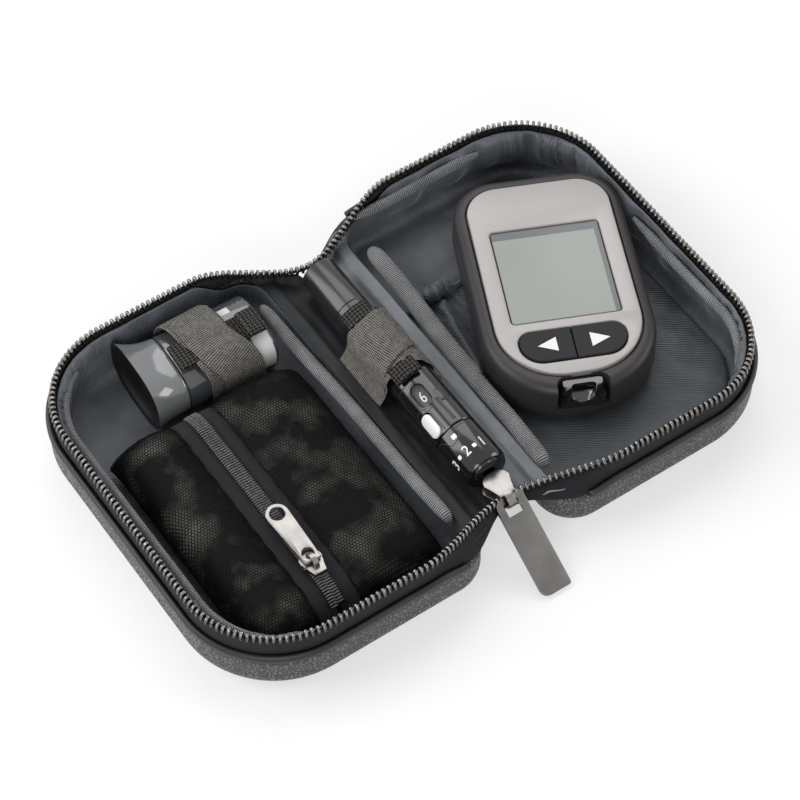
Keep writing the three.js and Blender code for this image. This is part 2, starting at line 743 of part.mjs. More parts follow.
function pocketPoint(x, alongShare, acrossShare, drop) {
  const [near, far] = [pocketNear(x), pocketFar(x)];
  const y = near + (far - near) * alongShare;
  const rise = (POCKET_TAPE_HEIGHT - POCKET_FOOT) * pocketRise(y, near, far);
  return new THREE.Vector3(x, y, POCKET_FOOT + rise * pocketSwell(acrossShare) - drop);
}

// A domed net: a grid of cells, each with a square hole between its strands.
function netPanel(innerX, outerX, columns) {
  const rows = NET_CELL_ROWS;
  const points = [];
  const faces = [];
  const spot = new Map();
  const point = (i, j, drop) => {
    const key = `${i.toFixed(3)} ${j.toFixed(3)} ${drop}`;
    if (!spot.has(key)) {
      const across = i / columns;
      spot.set(key, points.length);
      points.push(pocketPoint(innerX + (outerX - innerX) * across, j / rows, across, drop));
    }
    return spot.get(key);
  };
  const quad = (a, b, c, d) => faces.push(a, b, c, a, c, d);
  const strand = NET_STRAND_SHARE;
  for (let i = 0; i < columns; i += 1) {
    for (let j = 0; j < rows; j += 1) {
      const outer = [[i, j], [i + 1, j], [i + 1, j + 1], [i, j + 1]];
      const inner = [
        [i + strand, j + strand], [i + 1 - strand, j + strand],
        [i + 1 - strand, j + 1 - strand], [i + strand, j + 1 - strand],
      ];
      for (let k = 0; k < 4; k += 1) {
        const n = (k + 1) % 4;
        const [a, b, c, d] = [outer[k], outer[n], inner[n], inner[k]];
        quad(...[a, b, c, d].map((p) => point(...p, 0)));
        quad(...[d, c, b, a].map((p) => point(...p, NET_THICK)));
        quad(point(...d, 0), point(...c, 0), point(...c, NET_THICK), point(...d, NET_THICK));
      }
    }
  }
  const rim = [
    ...Array.from({ length: columns }, (_, i) => [i, 0]),
    ...Array.from({ length: rows }, (_, j) => [columns, j]),
    ...Array.from({ length: columns }, (_, i) => [columns - i, rows]),
    ...Array.from({ length: rows }, (_, j) => [0, rows - j]),
  ];
  rim.forEach((a, k) => {
    const b = rim[(k + 1) % rim.length];
    quad(point(...b, 0), point(...a, 0), point(...a, NET_THICK), point(...b, NET_THICK));
  });
  return surface(points, faces);
}

// A strip that follows the pocket's top along the zipper, between two shares of its length;
// its stations crowd to the ends, where it bends.
function pocketStrip(innerX, outerX, lift, thick, [startShare, endShare] = [0, 1]) {
  const stations = Array.from({ length: POCKET_STATIONS + 1 }, (_, i) => (
    startShare + (endShare - startShare) * (0.5 - 0.5 * Math.cos((Math.PI * i) / POCKET_STATIONS))));
  return loft(stations.map((share) => {
    const [a, b] = [innerX, outerX].map((x) => pocketPoint(x, share, 0, -lift));
    const [c, d] = [outerX, innerX].map((x) => pocketPoint(x, share, 0, -lift + thick));
    return [a, b, c, d];
  }));
}

// Sliders
// A bail: half a ring in a plane square to X, its ends sunk in the slider it stands on.
function bail(inner, wire, width, facing) {
  const steps = 8;
  const ring = (radius) => Array.from({ length: steps + 1 }, (_, i) => {
    const angle = facing - Math.PI / 2 + (i / steps) * Math.PI;
    return new THREE.Vector2(radius * Math.cos(angle), radius * Math.sin(angle));
  });
  const root = new THREE.Vector2(Math.cos(facing), Math.sin(facing)).multiplyScalar(-wire);
  const outer = ring(inner + wire);
  const inside = ring(inner).reverse();
  const sunk = (p) => p.clone().add(root);
  const shape = new THREE.Shape([
    sunk(outer[0]), ...outer, sunk(outer[steps]), sunk(inside[0]), ...inside, sunk(inside[steps]),
  ]);
  return new THREE.ExtrudeGeometry(shape, { depth: width, bevelEnabled: false })
    .translate(0, 0, -width / 2)
    .rotateY(Math.PI / 2)
    .rotateX(Math.PI / 2);
}

// A teardrop slider plate, wide at its mouths and narrow at its tail, along +Y.
function sliderPlate(length, width, thick) {
  const shares = SLIDER_OUTLINE_SHARES;
  const [tail, waist, nose] = [shares.tail, shares.waist, shares.nose].map((share) => width * share);
  const shoulder = length * shares.shoulder;
  const shape = new THREE.Shape();
  shape.moveTo(-tail, -length / 2);
  shape.lineTo(tail, -length / 2);
  shape.quadraticCurveTo(waist, -shoulder, width / 2, shoulder);
  shape.quadraticCurveTo(nose, length / 2, 0, length / 2);
  shape.quadraticCurveTo(-nose, length / 2, -width / 2, shoulder);
  shape.quadraticCurveTo(-waist, -shoulder, -tail, -length / 2);
  return new THREE.ExtrudeGeometry(shape, { depth: thick, bevelEnabled: false, curveSegments: 5 });
}

// The main slider: two plates on a neck, mouths to the trays, with its bail to the near end.
function mainSlider() {
  const top = MAIN_SLIDER_HEIGHT - MAIN_SLIDER_PLATE;
  const plates = [0, top].map((z) => (
    sliderPlate(MAIN_SLIDER_LENGTH, MAIN_SLIDER_WIDTH, MAIN_SLIDER_PLATE).translate(0, 0, z)));
  const neckLength = MAIN_SLIDER_LENGTH * SLIDER_NECK_SHARE;
  const neck = box(MAIN_SLIDER_NECK, neckLength, top, 0, 0, MAIN_SLIDER_HEIGHT / 2);
  const loop = bail(MAIN_BAIL_INNER, MAIN_BAIL_WIRE, MAIN_BAIL_WIDTH, Math.PI)
    .translate(0, -MAIN_SLIDER_LENGTH / 2 - GAP / 2, MAIN_SLIDER_HEIGHT / 2);
  return join(...plates, neck, loop);
}

// A pull plate along -Y from its bar, with a hole that the bail passes through.
function mainPull() {
  const half = MAIN_PULL_WIDTH / 2;
  const start = MAIN_PULL_BAR;
  const outline = plan(
    { x0: -half, x1: half, y0: start - MAIN_PULL_LENGTH, y1: start },
    [MAIN_PULL_CORNER, MAIN_PULL_CORNER, half / 2, half / 2], 0, 3,
  );
  const hole = box(
    MAIN_PULL_HOLE_WIDTH, MAIN_PULL_HOLE_LENGTH, OVERRUN,
    0, -start - MAIN_PULL_HOLE_LENGTH / 2, 0,
  );
  return cut(plate(outline, -MAIN_PULL_THICK / 2, MAIN_PULL_THICK / 2), hole);
}

// The pocket slider rides over the coil: a plate with two flanges and a thin web between the
// coil strands down to the plate under the tape.
function pocketSlider() {
  const coilTop = POCKET_TAPE_HEIGHT + GAP + COIL_HEIGHT;
  const plateBottom = coilTop + GAP;
  const under = POCKET_TAPE_HEIGHT - POCKET_TAPE_THICK - GAP - POCKET_SLIDER_PLATE;
  const upper = sliderPlate(POCKET_SLIDER_LENGTH, POCKET_SLIDER_WIDTH, POCKET_SLIDER_PLATE)
    .translate(0, 0, plateBottom);
  const lower = sliderPlate(POCKET_SLIDER_LENGTH, POCKET_SLIDER_WIDTH, POCKET_SLIDER_PLATE)
    .translate(0, 0, under);
  const web = box(
    POCKET_ZIP_SLOT - 2 * GAP, POCKET_SLIDER_LENGTH * SLIDER_WEB_SHARE, plateBottom - under,
    0, 0, (plateBottom + under) / 2 + POCKET_SLIDER_PLATE / 2,
  );
  const flangeX = POCKET_SLIDER_WIDTH / 2 - SLIDER_FLANGE_THICK;
  const flanges = [-1, 1].map((side) => box(
    SLIDER_FLANGE_THICK, POCKET_SLIDER_LENGTH * SLIDER_FLANGE_SHARE, COIL_HEIGHT,
    side * flangeX, POCKET_SLIDER_LENGTH * SLIDER_OUTLINE_SHARES.shoulder,
    plateBottom - COIL_HEIGHT / 2 + GAP,
  ));
  const loop = bail(POCKET_BAIL_INNER, POCKET_BAIL_WIRE, POCKET_BAIL_WIDTH, Math.PI / 2)
    .translate(0, 0, plateBottom + POCKET_SLIDER_PLATE + GAP);
  return join(upper, lower, web, ...flanges, loop);
}

// The height of the pocket puller's pivot.
const POCKET_PULL_Z = POCKET_TAPE_HEIGHT + GAP + COIL_HEIGHT + GAP + POCKET_SLIDER_PLATE
  + GAP + POCKET_PULL_THICK / 2 + GAP / 2;

// Its puller: a plate that widens to a round end, with a hole at each end.
function pocketPull() {
  const half = POCKET_PULL_WIDTH / 2;
  const barHalf = POCKET_PULL_BAR_WIDTH / 2;
  const back = POCKET_PULL_THICK / 2;
  const end = POCKET_PULL_LENGTH - back;
  const outline = [
    new THREE.Vector2(-barHalf, -back), new THREE.Vector2(barHalf, -back),
    ...corner(0, end - half, half, 0, 5), ...corner(0, end - half, half, Math.PI / 2, 5).slice(1),
  ];
  const hole = (radius, y) => new THREE.CylinderGeometry(radius, radius, OVERRUN, 16)
    .rotateX(Math.PI / 2)
    .translate(0, y, 0);
  const body = plate(outline, -POCKET_PULL_THICK / 2, POCKET_PULL_THICK / 2);
  const endY = end - POCKET_PULL_END_RIM - POCKET_PULL_END_HOLE;
  return cut(body, hole(POCKET_PULL_HOLE, back + POCKET_PULL_HOLE), hole(POCKET_PULL_END_HOLE, endY));
}

// The vial lies along X in its own frame, lid end at -X, its middle at the origin.
function ovalRing(x, halfWidth, halfHeight, rise = 0, roundness = VIAL_ROUNDNESS_POWER) {
  const power = 2 / roundness;
  return Array.from({ length: VIAL_SECTION_POINTS }, (_, i) => {
    const angle = (i / VIAL_SECTION_POINTS) * 2 * Math.PI;
    const [c, s] = [Math.cos(angle), Math.sin(angle)];
    const y = halfWidth * Math.sign(c) * Math.abs(c) ** power;
    const z = halfHeight * Math.sign(s) * Math.abs(s) ** power;
    return new THREE.Vector3(x, y, z + rise);
  });
}

const VIAL_MOUTH = -VIAL_LENGTH / 2 + VIAL_LID_LENGTH + GAP;

function vialBody() {
  const [w, h] = [VIAL_WIDTH / 2, VIAL_THICK / 2];
  const end = VIAL_LENGTH / 2;
  const wall = VIAL_WALL;
  return loft([
    ovalRing(end, w - 2 * wall, h - 2 * wall),
    ovalRing(end, w - wall / 2, h - wall / 2),
    ovalRing(end - wall / 2, w, h),
    ovalRing(VIAL_MOUTH, w, h),
    ovalRing(VIAL_MOUTH, w - wall, h - wall),
    ovalRing(end - wall, w - wall, h - wall),
  ]);
}

function vialLid() {
  const [w, h] = [VIAL_WIDTH / 2, VIAL_THICK / 2];
  const end = -VIAL_LENGTH / 2;
  const back = end + VIAL_LID_LENGTH;
  const flareWidth = VIAL_FLARE_WIDTH / 2;
  const flareHeight = h + VIAL_FLARE_RISE / 2;
  const rise = VIAL_FLARE_RISE / 2;
  const plug = VIAL_WALL + VIAL_PLUG_CLEARANCE;
  const flare = VIAL_FLARE_SHARES.map((share) => {
    const open = (1 - share) ** 2;
    return ovalRing(
      end + VIAL_LID_LENGTH * share,
      w + (flareWidth - w) * open, h + (flareHeight - h) * open, rise * open,
    );
  });
  return loft([
    ...VIAL_DISH_SHARES.map((share, i) => ovalRing(
      end + VIAL_DISH_DEPTH * (i ? VIAL_DISH_EDGE_SHARE : 1), w * share, h * share,
    )),
    ovalRing(end, flareWidth - VIAL_WALL / 2, flareHeight - VIAL_WALL / 2, rise),
    ...flare,
    ovalRing(back, w - plug, h - plug),
    ovalRing(back + VIAL_PLUG_LENGTH, w - plug, h - plug),
  ]);
}

// A band of even thickness along a line in a plane, made as wide as asked and centred.
function band(line, thick, width) {
  const side = (sign) => line.map((p, i) => {
    const before = line[Math.max(i - 1, 0)];
    const after = line[Math.min(i + 1, line.length - 1)];
    const along = after.clone().sub(before).normalize();
    return new THREE.Vector2(
      p.x - (sign * along.y * thick) / 2, p.y + (sign * along.x * thick) / 2,
    );
  });
  const shape = new THREE.Shape([...side(1), ...side(-1).reverse()]);
  return new THREE.ExtrudeGeometry(shape, { depth: width, bevelEnabled: false })
    .translate(0, 0, -width / 2);
}

// The elastic over the vial: foot, side, over the webbing tab, side, foot, in the YZ plane.
function vialStrap() {
  const lift = GAP + WEBBING_THICK / 2;
  const overTab = WEBBING_THICK + GAP + VIAL_STRAP_SLACK;
  const foot = FLOOR_TOP + GAP - VIAL_Z;
  const [halfWidth, halfHeight] = [VIAL_WIDTH / 2 + lift, VIAL_THICK / 2 + lift + overTab];
  const line = ovalRing(0, halfWidth, halfHeight, 0, VIAL_STRAP_ROUNDNESS_POWER)
    .slice(0, VIAL_SECTION_POINTS / 2 + 1)
    .map((p) => new THREE.Vector2(p.y, p.z));
  const [first, last] = [line[0], line[line.length - 1]];
  const legs = [new THREE.Vector2(first.x, foot), ...line, new THREE.Vector2(last.x, foot)];
  return band(legs, WEBBING_THICK, VIAL_STRAP_WIDTH).rotateX(Math.PI / 2).rotateZ(Math.PI / 2);
}

// The lancing pen lies along Y, its axis through its own frame's origin.
function turned(profile, sides = PEN_SIDES) {
  return new THREE.LatheGeometry(profile.map(([r, y]) => new THREE.Vector2(r, y)), sides);
}

// A stadium-shaped peg standing along Z, rolled about the pen's axis.
function rolledPeg(width, length, bottom, top, y, roll) {
  const half = width / 2;
  const outline = plan(
    { x0: -half, x1: half, y0: -length / 2, y1: length / 2 }, [half, half, half, half], 0, 4,
  );
  return plate(outline, bottom, top).rotateY(-roll).translate(0, y, 0);
}

function penBarrel() {
  const body = turned([
    [0, PEN_FRONT - PEN_NOSE_LENGTH],
    [PEN_NOSE_RADIUS, PEN_FRONT - PEN_NOSE_LENGTH],
    [PEN_NOSE_RADIUS, PEN_FRONT],
    [PEN_RADIUS, PEN_FRONT],
    [PEN_RADIUS, PEN_BARREL_END - PEN_CHAMFER / 2],
    [PEN_RADIUS - PEN_CHAMFER / 2, PEN_BARREL_END],
    [0, PEN_BARREL_END],
  ]);
  const cavity = new THREE.CylinderGeometry(
    PEN_CAVITY_RADIUS, PEN_CAVITY_RADIUS, PEN_CAVITY_END - PEN_CAVITY_START, PEN_SIDES,
  ).translate(0, (PEN_CAVITY_START + PEN_CAVITY_END) / 2, 0);
  const boreDepth = PEN_PLUNGER_DEPTH + PEN_PLUNGER_TRAVEL + GAP;
  const bore = new THREE.CylinderGeometry(
    PEN_PLUNGER_RADIUS + GAP, PEN_PLUNGER_RADIUS + GAP, boreDepth + OVERRUN, PEN_SIDES,
  ).translate(0, PEN_BARREL_END + (OVERRUN - boreDepth) / 2, 0);
  const noseEnd = PEN_FRONT - PEN_NOSE_LENGTH;
  const lancetBore = new THREE.CylinderGeometry(
    PEN_LANCET_HOLE, PEN_LANCET_HOLE, PEN_CAVITY_START - noseEnd + OVERRUN, 12,
  ).translate(0, (PEN_CAVITY_START + noseEnd - OVERRUN / 2) / 2, 0);
  const top = PEN_RADIUS + OVERRUN;
  const window = rolledPeg(
    PEN_WINDOW_WIDTH + GAP, PEN_WINDOW_LENGTH + GAP, 0, top, PEN_WINDOW_Y, PEN_WINDOW_ROLL,
  );
  const button = rolledPeg(
    PEN_BUTTON_WIDTH + GAP, PEN_BUTTON_LENGTH + GAP,
    PEN_RADIUS - PEN_BUTTON_THICK - PEN_BUTTON_TRAVEL - GAP, top, PEN_BUTTON_Y, PEN_BUTTON_ROLL,
  );
  const slot = rolledPeg(
    PEN_LEVER_WIDTH + GAP, PEN_LEVER_LENGTH + PEN_LEVER_TRAVEL + 2 * GAP, 0, top,
    PEN_LEVER_Y - PEN_LEVER_TRAVEL / 2, PEN_LEVER_ROLL,
  );
  return cut(body, cavity, bore, lancetBore, window, button, slot);
}

// The dial cap: faceted grip, chamfered tip with a small step, and the lancet's opening.
function penDialCap() {
  const inner = PEN_NOSE_RADIUS + GAP;
  const back = PEN_FRONT - GAP;
  const noseEnd = PEN_FRONT - PEN_NOSE_LENGTH - GAP;
  const body = turned([
    [PEN_LANCET_HOLE, noseEnd], [inner, noseEnd], [inner, back], [PEN_RADIUS, back],
    [PEN_RADIUS, PEN_TIP + 2 * PEN_CHAMFER], [PEN_RADIUS - PEN_CHAMFER, PEN_TIP + PEN_CHAMFER],
    [PEN_NOSE_RADIUS, PEN_TIP + PEN_CHAMFER], [PEN_NOSE_RADIUS, PEN_TIP],
    [PEN_LANCET_HOLE, PEN_TIP], [PEN_LANCET_HOLE, noseEnd],
  ]);
  return outward(mergeBare(body));
}

// A turned ring with its seam and repeated points merged.
function mergeBare(geometry) {
  const bare = geometry.clone();
  bare.deleteAttribute('normal');
  bare.deleteAttribute('uv');
  return mergeVertices(bare, MERGE);
}

function penPlunger() {
  const start = PEN_BARREL_END - PEN_PLUNGER_DEPTH;
  return turned([
    [0, start], [PEN_PLUNGER_RADIUS, start],
    [PEN_PLUNGER_RADIUS, PEN_BACK_END - PEN_CHAMFER],
    [PEN_PLUNGER_RADIUS - PEN_CHAMFER, PEN_BACK_END], [0, PEN_BACK_END],
  ], 24);
}

function penDrum() {
  const radius = PEN_CAVITY_RADIUS - GAP;
  const end = PEN_DRUM_START + PEN_DRUM_LENGTH;
  return turned([
    [0, PEN_DRUM_START], [radius - PEN_CHAMFER, PEN_DRUM_START],
    [radius, PEN_DRUM_START + PEN_CHAMFER], [radius, end - PEN_CHAMFER],
    [radius - PEN_CHAMFER, end], [0, end],
  ], 24);
}

// The elastic over the pen: feet on the spine lining, over the webbing tab, in the XZ plane.
function penStrap() {
  const close = PEN_RADIUS + GAP + WEBBING_THICK / 2;
  const overTab = WEBBING_THICK + GAP;
  const foot = SPINE_EDGE_HEIGHT + GAP + LINING_THICK - PEN_Z;
  const steps = 16;
  const arch = Array.from({ length: steps + 1 }, (_, i) => {
    const angle = (i / steps) * Math.PI;
    const roll = Math.PI / 2 + PEN_TAB_ROLL;
    const past = Math.abs(angle - roll) - PEN_TAB_EDGE_ANGLE;
    const radius = close + overTab * (1 - smooth(past / PEN_STRAP_RISE_ANGLE));
    return new THREE.Vector2(radius * Math.cos(angle), radius * Math.sin(angle));
  });
  const line = [
    new THREE.Vector2(PEN_STRAP_FOOT_X, foot), ...arch, new THREE.Vector2(-PEN_STRAP_FOOT_X, foot),
  ];
  return band(line, WEBBING_THICK, PEN_STRAP_WIDTH).rotateX(Math.PI / 2);
}

// The webbing tab on the pen, bent round its barrel.
function penTab() {
  const radius = PEN_RADIUS + GAP + WEBBING_THICK / 2;
  const steps = 5;
  const arc = Array.from({ length: steps + 1 }, (_, i) => {
    const angle = Math.PI / 2 + PEN_TAB_ROLL + (PEN_TAB_WIDTH / radius) * (i / steps - 0.5);
    return new THREE.Vector2(radius * Math.cos(angle), radius * Math.sin(angle));
  });
  return band(arc, WEBBING_THICK, PEN_TAB_LENGTH).rotateX(Math.PI / 2).translate(0, PEN_TAB_Y, 0);
}

function webbingTab(length, width) {
  const outline = plan(
    { x0: -width / 2, x1: width / 2, y0: -length / 2, y1: length / 2 },
    [GAP, GAP, GAP, GAP], 0, 1,
  );
  return plate(outline, -WEBBING_THICK / 2, WEBBING_THICK / 2);
}

// The slip pocket: a flat panel up to its hem, and the gathered hem.
function slipPanel() {
  const outline = plan(TRAY_BOX, TRAY_RADII, PANEL_INSET)
    .filter((p) => p.y < HEM_Y - GAP);
  const right = TRAY_REACH - PANEL_INSET;
  const left = SPINE_HALF + PANEL_INSET;
  const perCorner = 7;
  const whole = [
    ...outline.slice(0, perCorner),
    new THREE.Vector2(right, HEM_Y), new THREE.Vector2(left, HEM_Y),
    ...outline.slice(perCorner),
  ];
  return plate(whole, PANEL_TOP - PANEL_THICK, PANEL_TOP);
}

function slipHem() {
  const steps = 3 * HEM_GATHERS;
  const radiusOf = (share) => {
    const x = HEM_START + (HEM_END - HEM_START) * share;
    const flat = smooth((x - HEM_FULL_END + HEM_FADE) / HEM_FADE);
    const gather = 1 + HEM_GATHER_SHARE * Math.sin(2 * Math.PI * HEM_GATHERS * share);
    return HEM_FLAT_RADIUS + (HEM_RADIUS * gather - HEM_FLAT_RADIUS) * (1 - flat);
  };
  const points = Array.from({ length: steps + 1 }, (_, i) => {
    const share = i / steps;
    const x = HEM_START + (HEM_END - HEM_START) * share;
    return new THREE.Vector3(x, HEM_Y, PANEL_TOP + GAP + radiusOf(share));
  });
  return bar(points, radiusOf, 6);
}

// The meter, in its own frame: back at z = 0, top end at +Y.
const METER_BOX = {
  x0: -METER_WIDTH / 2, x1: METER_WIDTH / 2, y0: -METER_LENGTH / 2, y1: METER_LENGTH / 2,
};
const METER_RADII = [METER_FOOT_CORNER, METER_TOP_CORNER, METER_TOP_CORNER, METER_FOOT_CORNER];
const FACE_BOX = {
  x0: -METER_FACE_HALF_WIDTH, x1: METER_FACE_HALF_WIDTH, y0: METER_FACE_FOOT, y1: METER_FACE_TOP,
};
const FACE_RADII = [
  METER_FACE_FOOT_CORNER, METER_FACE_TOP_CORNER, METER_FACE_TOP_CORNER, METER_FACE_FOOT_CORNER,
];

function windowOutline(grow) {
  const [w, h] = [METER_WINDOW_WIDTH / 2, METER_WINDOW_HEIGHT / 2];
  return plan(
    { x0: -w, x1: w, y0: METER_WINDOW_Y - h, y1: METER_WINDOW_Y + h },
    Array(4).fill(METER_WINDOW_CORNER), -grow, 4,
  );
}

function padOutline(grow) {
  const [w, h] = [METER_PAD_WIDTH / 2, METER_PAD_HEIGHT / 2];
  return plan(
    { x0: -w, x1: w, y0: METER_PAD_Y - h, y1: METER_PAD_Y + h },
    Array(4).fill(h), -grow, 5,
  );
}

// The dark body: a moulded tub with soft edges, cut for the face, cell, door and strip port.
function meterBody() {
  const rim = METER_THICK - METER_RIM_DROP;
  const outline = (inset, z) => level(plan(METER_BOX, METER_RADII, inset, 7), z);
  const turns = [0, 1, 2, 3].map((i) => (i / 3) * (Math.PI / 2));
  const tub = loft([
    ...turns.map((a) => outline(
      METER_FOOT_ROUND * (1 - Math.sin(a)), METER_FOOT_ROUND * (1 - Math.cos(a)),
    )),
    ...turns.map((a) => outline(
      METER_EDGE_ROUND * (1 - Math.cos(a)), rim - METER_EDGE_ROUND * (1 - Math.sin(a)),
    )),
  ]);
  const hollow = (inset, bottom) => (
    plate(plan(FACE_BOX, FACE_RADII, inset), bottom, METER_THICK + OVERRUN));
  const faceSeat = hollow(-GAP, METER_THICK - METER_FACE_THICK - GAP);
  const boardSeat = hollow(METER_FACE_LEDGE, METER_BOARD_HEIGHT - GAP);
  const well = hollow(METER_FACE_LEDGE + METER_BOARD_LEDGE, METER_WALL);
  const doorDepth = METER_DOOR_THICK + GAP;
  const track = box(
    METER_DOOR_WIDTH + 2 * GAP, METER_DOOR_LENGTH + METER_DOOR_TRAVEL + 2 * GAP, 2 * doorDepth,
    0, METER_DOOR_Y - METER_DOOR_TRAVEL / 2, 0,
  );
  const cell = new THREE.CylinderGeometry(
    METER_CELL_RADIUS + GAP, METER_CELL_RADIUS + GAP, 2 * METER_WALL, 28,
  ).rotateX(Math.PI / 2).translate(0, METER_DOOR_Y, METER_WALL + doorDepth);
  const port = box(
    METER_PORT_WIDTH + 2 * GAP, METER_PORT_DEPTH + OVERRUN, METER_THICK,
    0, METER_FACE_FOOT - (METER_PORT_DEPTH + OVERRUN) / 2 - GAP,
    METER_PORT_BOTTOM - GAP + METER_THICK / 2,
  );
  return cut(tub, faceSeat, boardSeat, well, track, cell, port);
}

function meterFace() {
  const bottom = METER_THICK - METER_FACE_THICK;
  const outline = (inset, z) => level(plan(FACE_BOX, FACE_RADII, inset), z);
  const face = loft([
    outline(0, bottom), outline(0, METER_THICK - METER_FACE_CHAMFER),
    outline(METER_FACE_CHAMFER, METER_THICK),
  ]);
  const openings = [windowOutline(GAP), padOutline(GAP)]
    .map((hole) => plate(hole, bottom - OVERRUN, METER_THICK + OVERRUN));
  return cut(face, ...openings);
}

function meterButton(side) {
  const half = METER_PAD_WIDTH / 2;
  const whole = plate(
    padOutline(0), METER_THICK + METER_PAD_PROUD - METER_PAD_DEPTH, METER_THICK + METER_PAD_PROUD,
  );
  const other = box(
    METER_PAD_WIDTH, METER_PAD_HEIGHT + OVERRUN, METER_THICK + OVERRUN,
    -side * (half - GAP / 2), METER_PAD_Y, METER_THICK,
  );
  return cut(whole, other);
}

function meterPort() {
  const y1 = METER_FACE_FOOT - GAP - GAP;
  const y0 = y1 - METER_PORT_DEPTH;
  const [w, middle] = [METER_PORT_WIDTH / 2, (METER_PORT_BOTTOM + METER_PORT_TOP) / 2];
  const round = METER_PORT_DEPTH / 2;
  const outline = plan({ x0: -w, x1: w, y0, y1 }, [round, GAP, GAP, round], 0, 4);
  const slope = (y1 - y0 - METER_PORT_SLOPE) / (y1 - y0);
  const narrowed = outline.map((p) => (
    new THREE.Vector2(p.x * METER_PORT_TOP_SHARE, y1 - (y1 - p.y) * slope)));
  const body = loft([
    level(outline, METER_PORT_BOTTOM), level(outline, middle), level(narrowed, METER_PORT_TOP),
  ]);
  const slot = box(METER_SLOT_WIDTH, OVERRUN, METER_SLOT_HEIGHT, 0, y0, middle);
  return cut(body, slot);
}

// Assembly: the trays
const shellRight = shell();
const weltRight = welt();
const tapeRight = zipperTape();
const teethRight = zipperTeeth();
const liningRight = lining();
const seamRight = spineSeam();
const nearGusset = cornerGusset(MAIN_PULL_WIDTH / 2 + GAP);
const farGusset = cornerGusset(GUSSET_END).scale(1, -1, 1);
outward(farGusset);

for (const [side, turn] of [['left', mirrored], ['right', (g) => g.clone()]]) {
  addPiece(`${side}_shell`, turn(shellRight), 'leather');
  addPiece(`${side}_welt`, turn(weltRight), 'leather');
  addPiece(`${side}_zipper_tape`, turn(tapeRight), 'tape');
  addPiece(`${side}_zipper_teeth`, turn(teethRight), 'teeth');
  addPiece(`${side}_lining`, turn(liningRight), 'lining');
  addPiece(`${side}_spine_seam`, turn(seamRight), 'binding');
  addPiece(`${side}_near_gusset`, turn(nearGusset), 'tape');
  addPiece(`${side}_far_gusset`, turn(farGusset), 'tape');
}
addPiece('left_side_binding', mirrored(sideBinding(LEFT_BINDING_SHARES)), 'binding');
addPiece('right_near_binding', sideBinding(RIGHT_NEAR_BINDING_SHARES), 'binding');
addPiece('right_far_binding', sideBinding(RIGHT_FAR_BINDING_SHARES), 'binding');

// Assembly: the spine
const stripTop = SPINE_EDGE_HEIGHT - LINING_THICK - GAP;
addPiece('spine_strip', sagStrip(stripTop, SPINE_STRIP_THICK), 'leather');
addPiece('spine_lining', sagStrip(SPINE_EDGE_HEIGHT, LINING_THICK), 'satin');
const mainSliderY = PEN_TIP - 2 * GAP - MAIN_SLIDER_LENGTH / 2;
addPiece('main_slider', mainSlider(), 'nickel').position.set(0, mainSliderY, MAIN_SLIDER_BASE);
const pullPivotY = mainSliderY - MAIN_SLIDER_LENGTH / 2 - GAP / 2;
const pullPivotZ = MAIN_SLIDER_BASE + MAIN_SLIDER_HEIGHT / 2;
const pullReach = MAIN_PULL_LENGTH - MAIN_PULL_BAR;
const mainPuller = addPiece('main_puller', mainPull(), 'gunmetal');
mainPuller.position.set(0, pullPivotY, pullPivotZ);
mainPuller.rotation.x = Math.asin((pullPivotZ - MAIN_PULL_THICK / 2) / pullReach);

// Assembly: the mesh pocket
const tapeInnerLeft = POCKET_ZIP_X - POCKET_ZIP_SLOT / 2;
const tapeInnerRight = POCKET_ZIP_X + POCKET_ZIP_SLOT / 2;
const tapeOuterLeft = tapeInnerLeft - POCKET_TAPE_WIDTH;
const tapeOuterRight = tapeInnerRight + POCKET_TAPE_WIDTH;
addPiece('pocket_net_left', netPanel(tapeOuterLeft - GAP, POCKET_LEFT, NET_CELLS_LEFT), 'net');
addPiece('pocket_net_right', netPanel(tapeOuterRight + GAP, POCKET_RIGHT, NET_CELLS_RIGHT), 'net');
for (const [side, inner, outer, sign] of [
  ['left', tapeInnerLeft, tapeOuterLeft, -1], ['right', tapeInnerRight, tapeOuterRight, 1],
]) {
  addPiece(`pocket_tape_${side}`, pocketStrip(inner, outer, 0, POCKET_TAPE_THICK), 'tape');
  const coil = pocketStrip(
    inner, inner + sign * COIL_WIDTH, GAP + COIL_HEIGHT, COIL_HEIGHT, COIL_SPAN_SHARES,
  );
  addPiece(`pocket_coil_${side}`, coil, 'net');
}
addPiece('pocket_slider', pocketSlider(), 'nickel').position.set(POCKET_ZIP_X, POCKET_SLIDER_Y, 0);
addPiece('pocket_puller', pocketPull(), 'nickel')
  .position.set(POCKET_ZIP_X, POCKET_SLIDER_Y, POCKET_PULL_Z);

// Assembly: the strip vial under its elastic
const vialGroup = new THREE.Group();
vialGroup.position.set(VIAL_X, VIAL_Y, VIAL_Z);
vialGroup.rotation.z = VIAL_TURN;
caseGroup.add(vialGroup);
addPiece('vial_body', vialBody(), 'vial', vialGroup);
addPiece('vial_lid', vialLid(), 'vial', vialGroup);
addPiece('test_strips', box(STRIP_LENGTH, STRIP_WIDTH, STRIP_STACK), 'paper', vialGroup)
  .position.set(VIAL_LENGTH / 2 - VIAL_WALL - GAP - STRIP_LENGTH / 2, 0,
    -VIAL_THICK / 2 + VIAL_WALL + STRIP_LIFT + STRIP_STACK / 2);
addPiece('vial_tab', webbingTab(VIAL_TAB_WIDTH, VIAL_TAB_LENGTH), 'webbing', vialGroup)
  .position.set(VIAL_TAB_X, VIAL_TAB_Y, VIAL_THICK / 2 + GAP + WEBBING_THICK / 2);
addPiece('vial_strap', vialStrap(), 'elastic', vialGroup).position.x = VIAL_STRAP_X;

